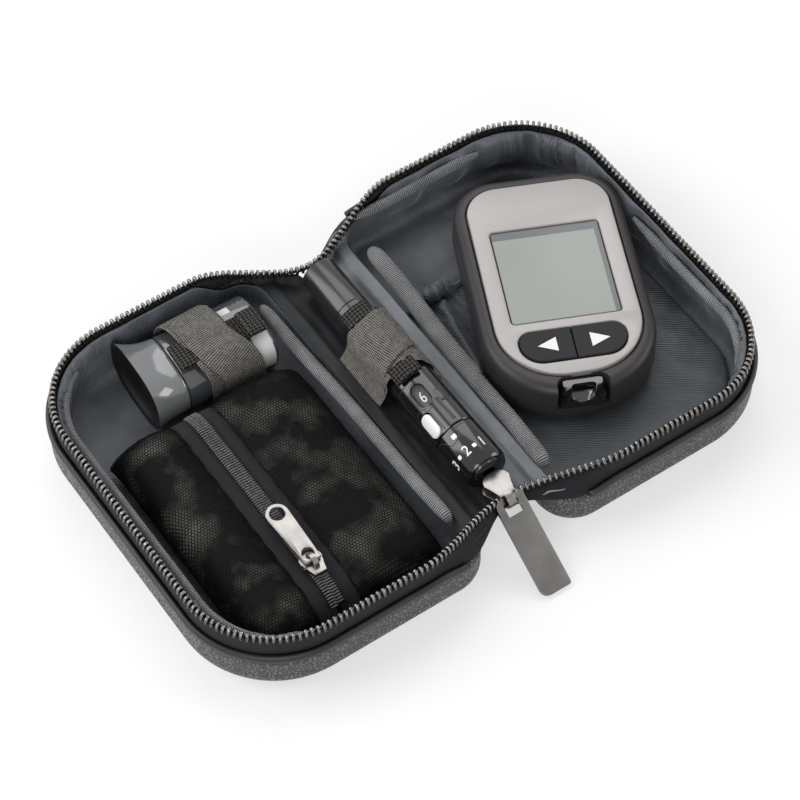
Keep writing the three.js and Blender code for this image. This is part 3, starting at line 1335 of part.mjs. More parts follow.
// Assembly: the lancing pen under its elastic
const penGroup = new THREE.Group();
penGroup.position.z = PEN_Z;
caseGroup.add(penGroup);
addPiece('pen_barrel', penBarrel(), 'pen', penGroup);
addPiece('pen_dial_cap', penDialCap(), 'pen', penGroup);
addPiece('pen_plunger', penPlunger(), 'pen', penGroup);
addPiece('pen_drum', penDrum(), 'pen', penGroup);
addPiece('pen_window', rolledPeg(
  PEN_WINDOW_WIDTH - GAP, PEN_WINDOW_LENGTH - GAP, PEN_CAVITY_RADIUS + GAP / 2, PEN_RADIUS,
  PEN_WINDOW_Y, PEN_WINDOW_ROLL,
), 'display', penGroup);
addPiece('pen_release_button', rolledPeg(
  PEN_BUTTON_WIDTH - GAP, PEN_BUTTON_LENGTH - GAP, PEN_RADIUS - PEN_BUTTON_THICK, PEN_RADIUS + GAP,
  PEN_BUTTON_Y, PEN_BUTTON_ROLL,
), 'white', penGroup);
addPiece('pen_lever', rolledPeg(
  PEN_LEVER_WIDTH - GAP, PEN_LEVER_LENGTH, PEN_CAVITY_RADIUS + GAP, PEN_RADIUS + GAP,
  PEN_LEVER_Y, PEN_LEVER_ROLL,
), 'pen', penGroup);
addPiece('pen_strap', penStrap(), 'elastic', penGroup)
  .position.y = PEN_STRAP_START + PEN_STRAP_WIDTH / 2;
addPiece('pen_tab', penTab(), 'webbing', penGroup);

// Assembly: the slip pocket and the meter
addPiece('slip_panel', slipPanel(), 'lining');
addPiece('slip_hem', slipHem(), 'lining');
const meterGroup = new THREE.Group();
meterGroup.position.set(METER_X, METER_Y, METER_Z);
meterGroup.rotation.z = METER_TURN;
caseGroup.add(meterGroup);
const patchY = METER_DOOR_Y + METER_DOOR_LENGTH / 2 + GAP + PATCH_LENGTH / 2;
addPiece('hook_patch', box(PATCH_WIDTH, PATCH_LENGTH, PATCH_THICK), 'webbing', meterGroup)
  .position.set(0, patchY, -GAP - PATCH_THICK / 2);
addPiece('meter_body', meterBody(), 'meter', meterGroup);
addPiece('meter_face', meterFace(), 'face', meterGroup);
const lensTop = METER_THICK - METER_LENS_SUNK;
const lensBottom = lensTop - METER_LENS_THICK;
const boardTop = METER_BOARD_HEIGHT + METER_BOARD_THICK;
const boardOutline = plan(FACE_BOX, FACE_RADII, METER_FACE_LEDGE + GAP);
addPiece('meter_lens', plate(windowOutline(0), lensBottom, lensTop), 'display', meterGroup);
addPiece(
  'meter_display', plate(windowOutline(0), boardTop + GAP, lensBottom - GAP), 'display', meterGroup,
);
addPiece('meter_board', plate(boardOutline, METER_BOARD_HEIGHT, boardTop), 'board', meterGroup);
const cellZ = METER_DOOR_THICK + GAP + METER_CELL_THICK / 2;
addPiece('meter_coin_cell', new THREE.CylinderGeometry(
  METER_CELL_RADIUS, METER_CELL_RADIUS, METER_CELL_THICK, 28,
).rotateX(Math.PI / 2), 'nickel', meterGroup).position.set(0, METER_DOOR_Y, cellZ);
const door = box(METER_DOOR_WIDTH, METER_DOOR_LENGTH, METER_DOOR_THICK);
addPiece('meter_battery_door', door, 'meter', meterGroup)
  .position.set(0, METER_DOOR_Y, METER_DOOR_THICK / 2);
addPiece('meter_button_left', meterButton(-1), 'rubber', meterGroup);
addPiece('meter_button_right', meterButton(1), 'rubber', meterGroup);
addPiece('meter_strip_port', meterPort(), 'gloss', meterGroup);

// The frame's origin: on the table, in the middle of the open case's footprint
const footprint = new THREE.Box3().setFromObject(caseGroup);
caseGroup.position.y = -(footprint.min.y + footprint.max.y) / 2;

const glucoseMeterCase = new THREE.Group();
glucoseMeterCase.add(caseGroup);

export default glucoseMeterCase;
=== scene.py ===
# %% [markdown]
# # A zipped case for a glucose meter
# The case lies open on its spine. Two leather trays hold a mesh pocket, a strip vial, a slip
# pocket and the meter, and a lancing pen lies on the spine between them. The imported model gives
# the sizes, the joints and a plain solid for every piece. This lesson dresses those solids.

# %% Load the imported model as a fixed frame
import bpy
import bmesh
import math
import numpy as np
from contextlib import contextmanager
from mathutils import Matrix, Vector


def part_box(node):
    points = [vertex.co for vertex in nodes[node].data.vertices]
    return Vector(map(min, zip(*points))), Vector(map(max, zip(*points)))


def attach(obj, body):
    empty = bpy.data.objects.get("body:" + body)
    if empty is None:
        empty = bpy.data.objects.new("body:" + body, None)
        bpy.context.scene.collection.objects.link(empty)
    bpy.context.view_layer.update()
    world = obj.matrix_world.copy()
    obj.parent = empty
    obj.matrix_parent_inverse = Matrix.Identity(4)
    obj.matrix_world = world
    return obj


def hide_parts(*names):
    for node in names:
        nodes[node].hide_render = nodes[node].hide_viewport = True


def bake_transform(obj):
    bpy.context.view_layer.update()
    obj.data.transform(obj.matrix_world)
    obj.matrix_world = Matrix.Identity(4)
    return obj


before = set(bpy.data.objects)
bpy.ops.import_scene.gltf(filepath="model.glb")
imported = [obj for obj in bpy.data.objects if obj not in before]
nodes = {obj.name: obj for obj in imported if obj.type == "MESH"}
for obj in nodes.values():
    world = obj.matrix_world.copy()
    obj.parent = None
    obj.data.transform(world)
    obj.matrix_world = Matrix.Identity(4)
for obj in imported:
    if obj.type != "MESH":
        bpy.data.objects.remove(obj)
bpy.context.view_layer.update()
print("nodes in the frame:", len(nodes))

# %% [markdown]
# ## Working in millimetres
# The model is in metres, but a case maker thinks in millimetres from the middle of the spine.
# So every shape below is written in millimetres about the spine, and one function places it.

# %% Millimetres about the spine
MM = 0.001
tray_low, tray_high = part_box("left_shell")
CASE_Y = (tray_low.y + tray_high.y) / 2


def place(points):
    """Millimetres about the spine, as metres in the model."""
    placed = np.asarray(points, float) * MM
    placed[..., 1] += CASE_Y
    return placed


def smooth(share):
    s = np.clip(share, 0, 1)
    return s * s * (3 - 2 * s)


def stand(name, data):
    """A new object of the scene."""
    thing = bpy.data.objects.new(name, data)
    bpy.context.scene.collection.objects.link(thing)
    return thing


print("the spine's middle is at y =", round(CASE_Y / MM, 2), "mm")

# %% [markdown]
# ## A camera where the photographer stood
# The rims, the spine and the pen in the photo fix one pinhole camera: a long lens, well above the
# table and turned to the left. A long lens keeps the far tray almost as large as the near one.

# %% Camera
AZIMUTH, ELEVATION = math.radians(-34.39), math.radians(54.09)
DISTANCE, FOCAL_PIXELS, IMAGE_PIXELS, SENSOR_MM = 0.7699, 2774.07, 800, 36
target = Vector((1.03 * MM, 3.65 * MM + CASE_Y, 0))
away = Vector((
    math.sin(AZIMUTH) * math.cos(ELEVATION),
    -math.cos(AZIMUTH) * math.cos(ELEVATION),
    math.sin(ELEVATION),
))
camera = stand("camera", bpy.data.cameras.new("camera"))
camera.location = target + away * DISTANCE
camera.rotation_euler = (target - camera.location).to_track_quat("-Z", "Y").to_euler()
camera.data.sensor_width = SENSOR_MM
camera.data.lens = FOCAL_PIXELS * SENSOR_MM / IMAGE_PIXELS
camera.data.clip_start, camera.data.clip_end = 0.01, 20
bpy.context.scene.camera = camera
print("lens", round(camera.data.lens, 1), "mm")

# %% [markdown]
# ## A white sweep and soft lamps
# The photo is a product shot on white: the light is broad and comes from above and behind, so the
# shadow falls towards the viewer, between the trays. The floor and the world are white where the
# camera or a mirror-like surface sees them, and the lamps stay at the level where a colour
# renders about as it is written.

# %% Floor, world and lamps
bpy.context.scene.view_settings.view_transform = "Standard"
SKY_LIGHT, PAPER_GLOW, FLOOR_HALF = 0.2, 0.55, 3


def feed(tree, node, inputs):
    """Each named input takes a value, or a link from a socket."""
    for key, value in inputs.items():
        if isinstance(value, bpy.types.NodeSocket):
            tree.links.new(value, node.inputs[key])
        else:
            node.inputs[key].default_value = value


def lay_node(tree, kind, inputs=None, **settings):
    """A new node of a tree, with its settings and its inputs."""
    node = tree.nodes.new(kind)
    for name, value in settings.items():
        setattr(node, name, value)
    feed(tree, node, inputs or {})
    return node


def seen_rays(tree):
    """One for rays of the camera, a reflection or a refraction, nothing for soft light."""
    path = lay_node(tree, "ShaderNodeLightPath").outputs
    seen = path["Is Camera Ray"]
    for ray in ("Is Glossy Ray", "Is Transmission Ray"):
        seen = lay_node(tree, "ShaderNodeMath", {0: seen, 1: path[ray]}, operation="MAXIMUM").outputs[0]
    return seen


world = bpy.data.worlds.new("studio")
bpy.context.scene.world = world
world.use_nodes = True
sky = world.node_tree
strength = lay_node(
    sky, "ShaderNodeMix", {"A": SKY_LIGHT, "B": 1.0, "Factor": seen_rays(sky)}, data_type="FLOAT",
)
feed(sky, sky.nodes["Background"], {"Color": (1, 1, 1, 1), "Strength": strength.outputs["Result"]})

floor_mesh = bpy.data.meshes.new("floor")
corners = [(x * FLOOR_HALF, y * FLOOR_HALF, 0) for x, y in ((-1, -1), (1, -1), (1, 1), (-1, 1))]
floor_mesh.from_pydata(corners, [], [(0, 1, 2, 3)])
floor = stand("floor", floor_mesh)
paper = bpy.data.materials.new("studio_paper")
paper.use_nodes = True
tree = paper.node_tree
matt = tree.nodes["Principled BSDF"]
feed(tree, matt, {"Base Color": (0.93, 0.93, 0.94, 1), "Roughness": 0.9, "Specular IOR Level": 0.1})
glow = lay_node(tree, "ShaderNodeEmission")
share = lay_node(tree, "ShaderNodeMath", {0: seen_rays(tree), 1: PAPER_GLOW}, operation="MULTIPLY")
blend = lay_node(
    tree, "ShaderNodeMixShader", {"Fac": share.outputs[0], 1: matt.outputs[0], 2: glow.outputs[0]},
)
feed(tree, tree.nodes["Material Output"], {"Surface": blend.outputs[0]})
floor_mesh.materials.append(paper)

for name, spot, size, power in (
    ("window_left", (-0.7, 0.5, 0.52), (0.75, 0.9), 8.5),
    ("window_high", (0.34, 0.6, 0.98), (1.0, 0.85), 7),
    ("card_front_left", (-0.7, -0.95, 0.6), (0.8, 0.6), 8),
    ("card_right", (0.95, -0.45, 0.5), (0.5, 0.5), 3.5),
):
    light = bpy.data.lights.new(name, "AREA")
    light.shape, light.size, light.size_y, light.energy = "RECTANGLE", *size, power
    lamp = stand(name, light)
    lamp.location = spot
    lamp.rotation_euler = (-Vector(spot)).to_track_quat("-Z", "Y").to_euler()
    print(name, power, "W")

# %% [markdown]
# ## Laying shader nodes
# Every finish here is a Principled shader with a pattern built from a few maths nodes. A pattern
# on cloth follows the piece's own UV map, which holds real metres along and across the piece, so
# a rib of 0.6 mm is 0.6 mm everywhere. A pattern on leather or plastic reads Object coordinates.

# %% A small kit for finishes


class Finish:
    """One material, with a few helpers to lay its nodes."""

    def __init__(self, name, color, roughness, metallic=0.0):
        self.material = bpy.data.materials.new(name)
        self.material.use_nodes = True
        self.tree = self.material.node_tree
        self.set({"Base Color": (*color, 1), "Roughness": roughness, "Metallic": metallic})

    def set(self, values):
        feed(self.tree, self.tree.nodes["Principled BSDF"], values)
        return self

    def lay(self, kind, inputs=None, **settings):
        return lay_node(self.tree, kind, inputs, **settings).outputs[0]

    def maths(self, operation, a, b=0.0, c=0.0):
        return self.lay("ShaderNodeMath", {0: a, 1: b, 2: c}, operation=operation)

    def place(self):
        return lay_node(self.tree, "ShaderNodeTexCoord").outputs["Object"]

    def flat(self, space="cloth"):
        """Metres along and across the piece, or along the model's X and Y."""
        source = self.lay("ShaderNodeUVMap", uv_map="cloth") if space == "cloth" else self.place()
        return lay_node(self.tree, "ShaderNodeSeparateXYZ", {0: source}).outputs[:2]

    def noise(self, scale, detail):
        return self.lay(
            "ShaderNodeTexNoise", {"Scale": scale, "Detail": detail, "Vector": self.place()},
        )

    def wave(self, length, pitch):
        """A sine between -1 and 1 with one crest a pitch."""
        return self.maths("SINE", self.maths("MULTIPLY", length, 2 * math.pi / pitch))

    def weave(self, along, across, pitch_along, pitch_across):
        """Threads that pass over and under each other, from 0 in the gaps to 1 on the crowns."""
        a, b = self.wave(along, 2 * pitch_along), self.wave(across, 2 * pitch_across)
        over = self.maths("GREATER_THAN", self.maths("MULTIPLY", a, b), 0.0)
        under = self.maths("SUBTRACT", 1.0, over)
        crown = self.maths("MULTIPLY", self.maths("ABSOLUTE", a), over)
        return self.maths("MULTIPLY_ADD", self.maths("ABSOLUTE", b), under, crown)

    def spread(self, share, **ends):
        return self.lay(
            "ShaderNodeMapRange",
            {"Value": share, **{key.replace("_", " ").title(): at for key, at in ends.items()}},
        )

    def tint(self, share, low, high, start=0.0, end=1.0):
        """The colour runs from low to high with a share."""
        share = self.spread(share, from_min=start, from_max=end)
        mixed = lay_node(
            self.tree, "ShaderNodeMix", {"Factor": share, "A": (*low, 1), "B": (*high, 1)},
            data_type="RGBA",
        )
        return self.set({"Base Color": mixed.outputs["Result"]})

    def polish(self, share, low, high):
        """The roughness runs from low to high with a share."""
        return self.set({"Roughness": self.spread(share, to_min=low, to_max=high)})

    def raise_by(self, height, depth, strength=1.0):
        """The height pattern, from 0 to 1, stands out by a depth in metres."""
        bump = {"Strength": strength, "Distance": depth, "Height": height}
        return self.set({"Normal": self.lay("ShaderNodeBump", bump)})

    def sheen(self, weight, roughness=0.4):
        tint = (0.8, 0.85, 0.9, 1)
        return self.set({"Sheen Weight": weight, "Sheen Roughness": roughness, "Sheen Tint": tint})

    def dull(self, specular=0.15):
        """Cloth mirrors far less than a moulding does."""
        return self.set({"Specular IOR Level": specular})

    def gloss(self, coat, roughness=0.05, specular=0.5):
        return self.set({"Coat Weight": coat, "Coat Roughness": roughness}).dull(specular)

# %% [markdown]
# ## Leather
# The shells are covered in black leather with a pebble grain of about a millimetre. A Voronoi pattern
# gives the pebbles and their creases, and a slow noise keeps the grain from looking printed. The tops of
# the pebbles are a little worn and shinier than the creases. Their colour is painted lighter as a
# highlight, and the creases darker as painted shade.

# %% Leather finish
leather = Finish("pebbled_leather", (0.035, 0.035, 0.039), 0.5)
grain = leather.lay(
    "ShaderNodeTexVoronoi", {"Scale": 820, "Randomness": 0.9, "Vector": leather.place()},
    feature="DISTANCE_TO_EDGE",
)
pebble = leather.maths("MINIMUM", leather.maths("MULTIPLY", grain, 4.0), 1.0)
relief = leather.maths("MULTIPLY_ADD", leather.noise(160, 4), 0.5, pebble)
# Pebble tops painted lighter as a highlight, creases darker as painted shade.
leather.tint(relief, (0.01, 0.01, 0.011), (0.135, 0.134, 0.141), 0.1, 1.5)
leather.polish(pebble, 0.55, 0.33).raise_by(relief, 0.0003)

lip_leather = Finish("smooth_leather", (0.028, 0.028, 0.031), 0.42)
lip_leather.tint(lip_leather.noise(90, 3), (0.012, 0.012, 0.014), (0.028, 0.028, 0.031), 0.3, 0.7)
lip_leather.raise_by(lip_leather.noise(900, 3), 0.00005, 0.5).dull(0.3)

# %% [markdown]
# ## Woven finishes
# Five cloths meet in the case: the zipper's fine tape, a ribbed nylon lining, a paler satin on
# the spine, ribbed grosgrain round the seams and a coarse elastic over the pen and the vial. They
# share a few helpers and differ in thread size, colour and shine.

# %% Cloth finishes
tape_cloth = Finish("zipper_tape_twill", (0.012, 0.012, 0.013), 0.8)
u, v = tape_cloth.flat()
twill = tape_cloth.weave(
    tape_cloth.maths("ADD", u, v), tape_cloth.maths("SUBTRACT", u, v), 0.00035, 0.00035,
)
tape_cloth.tint(twill, (0.004, 0.004, 0.005), (0.028, 0.028, 0.031))
tape_cloth.raise_by(twill, 0.00012).sheen(0.06).dull()


def ribbed_nylon(name, dark, pale, rib, sheen, rough, turn=0.0, space="cloth"):
    """A fine ribbed cloth: satin ribs at a pitch, over slow changes of tone that are the painted shade of
    soft folds.
    """
    cloth = Finish(name, pale, rough)
    along, across = cloth.flat(space)
    line = cloth.maths(
        "MULTIPLY_ADD", along, math.sin(turn), cloth.maths("MULTIPLY", across, math.cos(turn)),
    )
    ribs = cloth.wave(cloth.maths("MULTIPLY_ADD", cloth.noise(220, 2), rib * 0.9, line), rib)
    ribs = cloth.maths("MULTIPLY_ADD", ribs, 0.5, 0.5)
    # The slow noise in the colour is painted shade of folds.
    ribs_and_fold_shade = cloth.maths("MULTIPLY_ADD", cloth.noise(55, 3), 0.9, cloth.maths("MULTIPLY", ribs, 0.28))
    creases = cloth.maths("MULTIPLY", cloth.noise(95, 2), 0.0016)
    cloth.raise_by(cloth.maths("MULTIPLY_ADD", ribs, rib * 0.1, creases), 1.0)
    return cloth.tint(ribs_and_fold_shade, dark, pale, 0.2, 0.95).sheen(sheen, 0.35).dull(0.3)


lining_dark = ribbed_nylon(
    "lining_nylon_left", (0.013, 0.015, 0.018), (0.23, 0.25, 0.278), 0.0007, 0.3, 0.45,
)
lining_pale = ribbed_nylon(
    "lining_nylon_right", (0.01, 0.0115, 0.014), (0.17, 0.184, 0.205), 0.0007, 0.35, 0.42,
)
panel_cloth = ribbed_nylon(
    "pocket_panel_nylon", (0.014, 0.017, 0.02), (0.13, 0.142, 0.156), 0.0008, 0.3, 0.4,
    math.radians(34), "object",
)
satin = ribbed_nylon(
    "spine_satin", (0.04, 0.044, 0.049), (0.26, 0.275, 0.295), 0.00055, 0.25, 0.36,
)
# The same satin, near black, for the left half of the spine: the pen's shadow painted into the cloth.
satin_painted_shadow = ribbed_nylon(
    "spine_satin_painted_shadow", (0.002, 0.0025, 0.003), (0.012, 0.0135, 0.0155), 0.00055, 0.05, 0.6,
)

grosgrain = Finish("grosgrain_binding", (0.1, 0.1, 0.105), 0.7)
u, v = grosgrain.flat()
cords = grosgrain.maths("MULTIPLY_ADD", grosgrain.wave(u, 0.00056), 0.5, 0.5)
fine = grosgrain.maths("MULTIPLY_ADD", grosgrain.wave(v, 0.00028), 0.12, cords)
shade = grosgrain.maths(
    "MULTIPLY_ADD", grosgrain.noise(140, 2), 0.45, grosgrain.maths("MULTIPLY", fine, 0.8),
)
grosgrain.tint(shade, (0.014, 0.0145, 0.016), (0.42, 0.425, 0.43), 0.2, 1.1)
grosgrain.raise_by(fine, 0.00022).sheen(0.2).dull()

elastic = Finish("coarse_elastic", (0.06, 0.052, 0.046), 0.75)
knit = elastic.weave(*elastic.flat(), 0.00062, 0.00055)
slack = elastic.maths("MULTIPLY_ADD", elastic.noise(700, 2), 0.5, knit)
elastic.tint(slack, (0.0015, 0.0015, 0.0015), (0.4, 0.38, 0.35), 0.62, 1.45)
elastic.raise_by(slack, 0.0004).dull()

webbing = Finish("coarse_webbing", (0.03, 0.027, 0.025), 0.7)
blocks = webbing.weave(*webbing.flat(), 0.0011, 0.0009)
webbing.tint(blocks, (0.0015, 0.0015, 0.0015), (0.075, 0.07, 0.064), 0.5, 1.0)
webbing.raise_by(blocks, 0.0005).dull()


def mottled(name, color, rough, pattern, dark, pale, ends, relief, depth, specular=0.15):
    """A cloth with one noise for its tone and one for its relief."""
    cloth = Finish(name, color, rough)
    cloth.tint(cloth.noise(*pattern), dark, pale, *ends).dull(specular)
    return cloth.raise_by(cloth.noise(*relief), depth) if depth else cloth


net_cord = mottled(
    "net_cord", (0.012, 0.012, 0.012), 0.45, (2600, 1), (0.002, 0.002, 0.002),
    (0.006, 0.0058, 0.0055), (0.35, 0.75), (2600, 1), 0.00006, 0.08,
)
# Its pale noise patches are painted highlights that show through the net's holes.
pocket_backing_painted_light = mottled(
    "pocket_backing_painted_light", (0.07, 0.065, 0.058), 0.75, (70, 4), (0.006, 0.0057, 0.0054),
    (0.24, 0.226, 0.2), (0.48, 0.7), (900, 2), 0.0001,
)
coil_nylon = mottled(
    "coil_nylon", (0.09, 0.088, 0.092), 0.4, (1800, 2), (0.03, 0.03, 0.032),
    (0.12, 0.12, 0.125), (0.3, 0.7), (1800, 2), 0, 0.4,
)
hooks = mottled(
    "hook_patch_loops", (0.02, 0.02, 0.022), 0.9, (2200, 3), (0.01, 0.01, 0.011),
    (0.05, 0.05, 0.053), (0.3, 0.7), (2200, 3), 0.0003,
)

# %% [markdown]
# ## Metals and mouldings
# The teeth and the pull are dark plated metal, the sliders bright nickel. Plated zinc is never
# quite even, so a faint noise moves the roughness. The plastics differ in gloss: satin on the
# meter, wet-looking on its strip port and the vial, and something between on the pen.

# %% Metal and plastic finishes


def plated(name, dark, pale, low, high, grain_size):
    metal = Finish(name, pale, low, 1.0)
    uneven = metal.noise(grain_size, 3)
    return metal.tint(uneven, dark, pale, 0.3, 0.7).polish(uneven, low, high)


teeth_metal = plated("dark_nickel_teeth", (0.05, 0.048, 0.045), (0.3, 0.285, 0.265), 0.2, 0.42, 1500)
nickel = plated("bright_nickel", (0.2, 0.191, 0.182), (0.27, 0.258, 0.247), 0.24, 0.36, 250)
gunmetal = plated("gunmetal_pull", (0.15, 0.145, 0.138), (0.2, 0.192, 0.184), 0.18, 0.28, 120)


def moulded(name, color, rough, texture, depth, spread):
    """A moulded plastic with the faint texture of its tool."""
    plastic = Finish(name, color, rough)
    low, high = (tuple(c * (1 + turn * spread) for c in color) for turn in (-1, 1))
    plastic.tint(plastic.noise(40, 2), low, high, 0.3, 0.7)
    return plastic.raise_by(plastic.noise(texture, 3), depth, 0.6)


lid_plastic = moulded("vial_lid_gloss", (0.17, 0.176, 0.182), 0.16, 500, 0.00001, 0.15).gloss(0.6)
vial_plastic = moulded("vial_grey_gloss", (0.06, 0.066, 0.072), 0.13, 500, 0.00001, 0.12).gloss(0.6)
label_paper = moulded("bare_label", (0.62, 0.62, 0.61), 0.3, 900, 0.00001, 0.05).gloss(0.3)
pen_plastic = moulded("pen_black", (0.006, 0.0062, 0.0062), 0.13, 3000, 0.000004, 0.1).dull(0.55)
pen_rear = moulded("pen_rear_satin", (0.012, 0.0135, 0.0145), 0.22, 3000, 0.00001, 0.1)
white_enamel = moulded("white_print", (0.72, 0.72, 0.73), 0.35, 2000, 0.000005, 0.03)
slit_black = moulded("slit_shadow", (0.002, 0.002, 0.002), 0.5, 2000, 0.000005, 0.1)
meter_plastic = moulded("meter_dark_body", (0.03, 0.027, 0.029), 0.4, 4200, 0.00002, 0.08).dull(0.25)
clear_pane = Finish("clear_window", (0.3, 0.31, 0.31), 0.25).dull(0.2).set({"Alpha": 0.08})
clear_pane.polish(clear_pane.noise(400, 1), 0.22, 0.28)
button_rubber = moulded("button_rubber", (0.012, 0.012, 0.0135), 0.55, 3800, 0.00002, 0.1).dull(0.2)
port_gloss = moulded("port_piano_black", (0.004, 0.004, 0.005), 0.05, 900, 0.000003, 0.1).gloss(0.8)
board_green = moulded("circuit_board", (0.02, 0.11, 0.05), 0.5, 1500, 0.00003, 0.2)
strip_film = moulded("strip_film", (0.7, 0.68, 0.62), 0.4, 1500, 0.00002, 0.06)

face_satin = Finish("face_plate_satin", (0.42, 0.395, 0.385), 0.4, 0.25)
brushed = face_satin.noise(2500, 2)
face_satin.tint(face_satin.noise(25, 2), (0.265, 0.25, 0.245), (0.31, 0.293, 0.286), 0.3, 0.7)
face_satin.polish(brushed, 0.3, 0.44).raise_by(brushed, 0.000008)

display = Finish("display_grey_green", (0.3, 0.33, 0.3), 0.22)
display.tint(display.noise(30, 1), (0.2, 0.22, 0.2), (0.235, 0.256, 0.232), 0.3, 0.7)
display.polish(display.noise(400, 1), 0.16, 0.26)
# Near black for the band of painted shadow that the window's walls would cast on the display.
display_painted_shadow = Finish("display_painted_shadow", (0.07, 0.07, 0.078), 0.3)
display_painted_shadow.tint(display_painted_shadow.noise(30, 1), (0.06, 0.062, 0.068), (0.1, 0.102, 0.108), 0.3, 0.7)
print("finishes:", len(bpy.data.materials))

# %% [markdown]
# ## From rings of points to a piece
# Nearly everything here is a section carried along a path: a lip, a tape, a strap, a pen. So one
# helper skins rings of points, and gives the skin a UV map in metres: first along the path, then
# round the section. A piece that closes is turned outwards by the sign of its volume.

# %% Making, finishing and settling pieces


@contextmanager
def edited(source, mesh=None):
    """A mesh open for edits, which are written back to it or to a new mesh."""
    made = bmesh.new()
    made.from_mesh(source)
    yield made
    made.to_mesh(mesh or source)
    made.free()


def make_mesh(name, points, faces, finish, uvs=None, shade=True):
    """A mesh object from millimetres about the spine; uvs holds a pair for each face corner."""
    mesh = bpy.data.meshes.new(name)
    mesh.from_pydata(place(points).tolist(), [], [tuple(f) for f in faces])
    if uvs is not None:
        layer = mesh.uv_layers.new(name="cloth")
        layer.data.foreach_set("uv", (np.asarray(uvs, float) * MM).ravel())
    mesh.materials.append(finish.material)
    mesh.shade_smooth() if shade else mesh.shade_flat()
    return stand(name, mesh)


def travelled(line):
    """The way along a line at each of its points."""
    return np.concatenate([[0], np.cumsum(np.linalg.norm(np.diff(line, axis=0), axis=1))])


def skin(name, rings, finish, closed=True, caps=True):
    """Skins rings of equal count, with the row of each ring closed and its ends capped."""
    rings = np.asarray(rings, float)
    count, around = rings.shape[:2]
    points, middles = rings.reshape(-1, 3), rings.mean(1)
    travel = travelled(middles)
    if travel[-1] < 0.5:
        travel = np.linspace(0, 1, count)
    girth = travelled(np.vstack([rings[count // 2], rings[count // 2][:1]]))
    faces, uvs = [], []
    for i in range(count - 1):
        near, far = travel[i], travel[i + 1]
        for j in range(around if closed else around - 1):
            a, b = i * around + j, i * around + (j + 1) % around
            faces.append((a, b, b + around, a + around))
            uvs += [(near, girth[j]), (near, girth[j + 1]), (far, girth[j + 1]), (far, girth[j])]
    if caps and closed:
        for end in (0, count - 1):
            points = np.vstack([points, middles[end]])
            for j in range(around):
                a, b = end * around + j, end * around + (j + 1) % around
                faces.append((a, b, len(points) - 1) if end else (b, a, len(points) - 1))
                uvs += [(travel[end], girth[k]) for k in (j, j + 1, j)]
    thing = make_mesh(name, points, faces, finish, uvs)
    return turn_outwards(thing) if closed else thing


def turn_outwards(thing):
    """Reverses a closed mesh that is inside out."""
    with edited(thing.data) as made:
        if made.calc_volume(signed=True) < 0:
            bmesh.ops.reverse_faces(made, faces=made.faces)
    return thing


def turn_up(thing):
    """Reverses an open mesh that faces down."""
    if sum(f.normal.z for f in thing.data.polygons) < 0:
        thing.data.flip_normals()


def settle(thing, body, *stands_for, slot=None, bend=None):
    """The piece rides a body, or with a bend it is left where it is on no body, and stands for its CAD
    nodes.
    """
    if bend:
        other, start, end = bend
        tuple(place(start))
        tuple(place(end))
        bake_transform(thing)
    else:
        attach(thing, body)
    if stands_for:
        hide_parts(*stands_for)
    print(thing.name, "on", body)
    return thing


def apply_modifiers(thing):
    """What the modifiers make becomes the piece's plain mesh."""
    bpy.context.view_layer.update()
    graph = bpy.context.evaluated_depsgraph_get()
    made = bpy.data.meshes.new_from_object(thing.evaluated_get(graph))
    thing.modifiers.clear()
    thing.data = made
    return thing


def crisp(thing, angle=40):
    thing.data.set_sharp_from_angle(angle=math.radians(angle))
    return thing


def refined(node, name, finish, width):
    """A CAD solid with its loose triangles merged and a bevel that catches the light."""
    mesh = bpy.data.meshes.new(name)
    with edited(nodes[node].data, mesh) as made:
        bmesh.ops.remove_doubles(made, verts=made.verts, dist=1e-6)
        bmesh.ops.dissolve_limit(
            made, angle_limit=math.radians(1.5), verts=made.verts, edges=made.edges,
        )
    mesh.materials.append(finish.material)
    thing = stand(name, mesh)
    bevel = thing.modifiers.new("edges", "BEVEL")
    bevel.width, bevel.segments = width * MM, 3
    bevel.limit_method, bevel.angle_limit = "ANGLE", math.radians(35)
    apply_modifiers(thing).data.shade_smooth()
    return crisp(thing, 50)


def paint(node, finish):
    """A CAD node that stays as it is gets its finish."""
    nodes[node].data.materials.clear()
    nodes[node].data.materials.append(finish.material)


print("helpers ready")

# %% [markdown]
# ## The trays' outline
# Seen from above, a tray is a rectangle with two wide outer corners and two tighter ones at the
# spine. Every part of the tray follows that outline at its own inset. The zipper doesn't: on its
# three sides it runs level, then falls and draws in to the two ends of the spine.

# %% Outlines and the falling rim
SPINE_HALF, TRAY_REACH, CASE_HALF = 10.4, 90.0, 58.8
OUTER_CORNER, SPINE_CORNER, SHELL_HEIGHT = 28.0, 11.5, 12.5
RIM_TOP, RIM_END_HEIGHT, RIM_FALL_START, RIM_END_HALF = 22.75, 16.6, 33.0, 47.3
TAPE_INSET, TAPE_FOOT, GUSSET_START, GUSSET_FOOT_HALF = 2.0, 12.8, 18.7, 48.4
RIM_DRAW = CASE_HALF - TAPE_INSET - RIM_END_HALF
QUARTER = math.pi / 2


def corner_points(x, y, radius, start, steps):
    turn = start + np.linspace(0, QUARTER, steps + 1)
    return np.stack([x + radius * np.cos(turn), y + radius * np.sin(turn)], 1)


def round_steps(radius, steps):
    """A quarter round: how far each of its steps is from the two sides of its corner."""
    turn = np.linspace(0, QUARTER, steps)
    return list(zip(radius * (1 - np.sin(turn)), radius * (1 - np.cos(turn))))


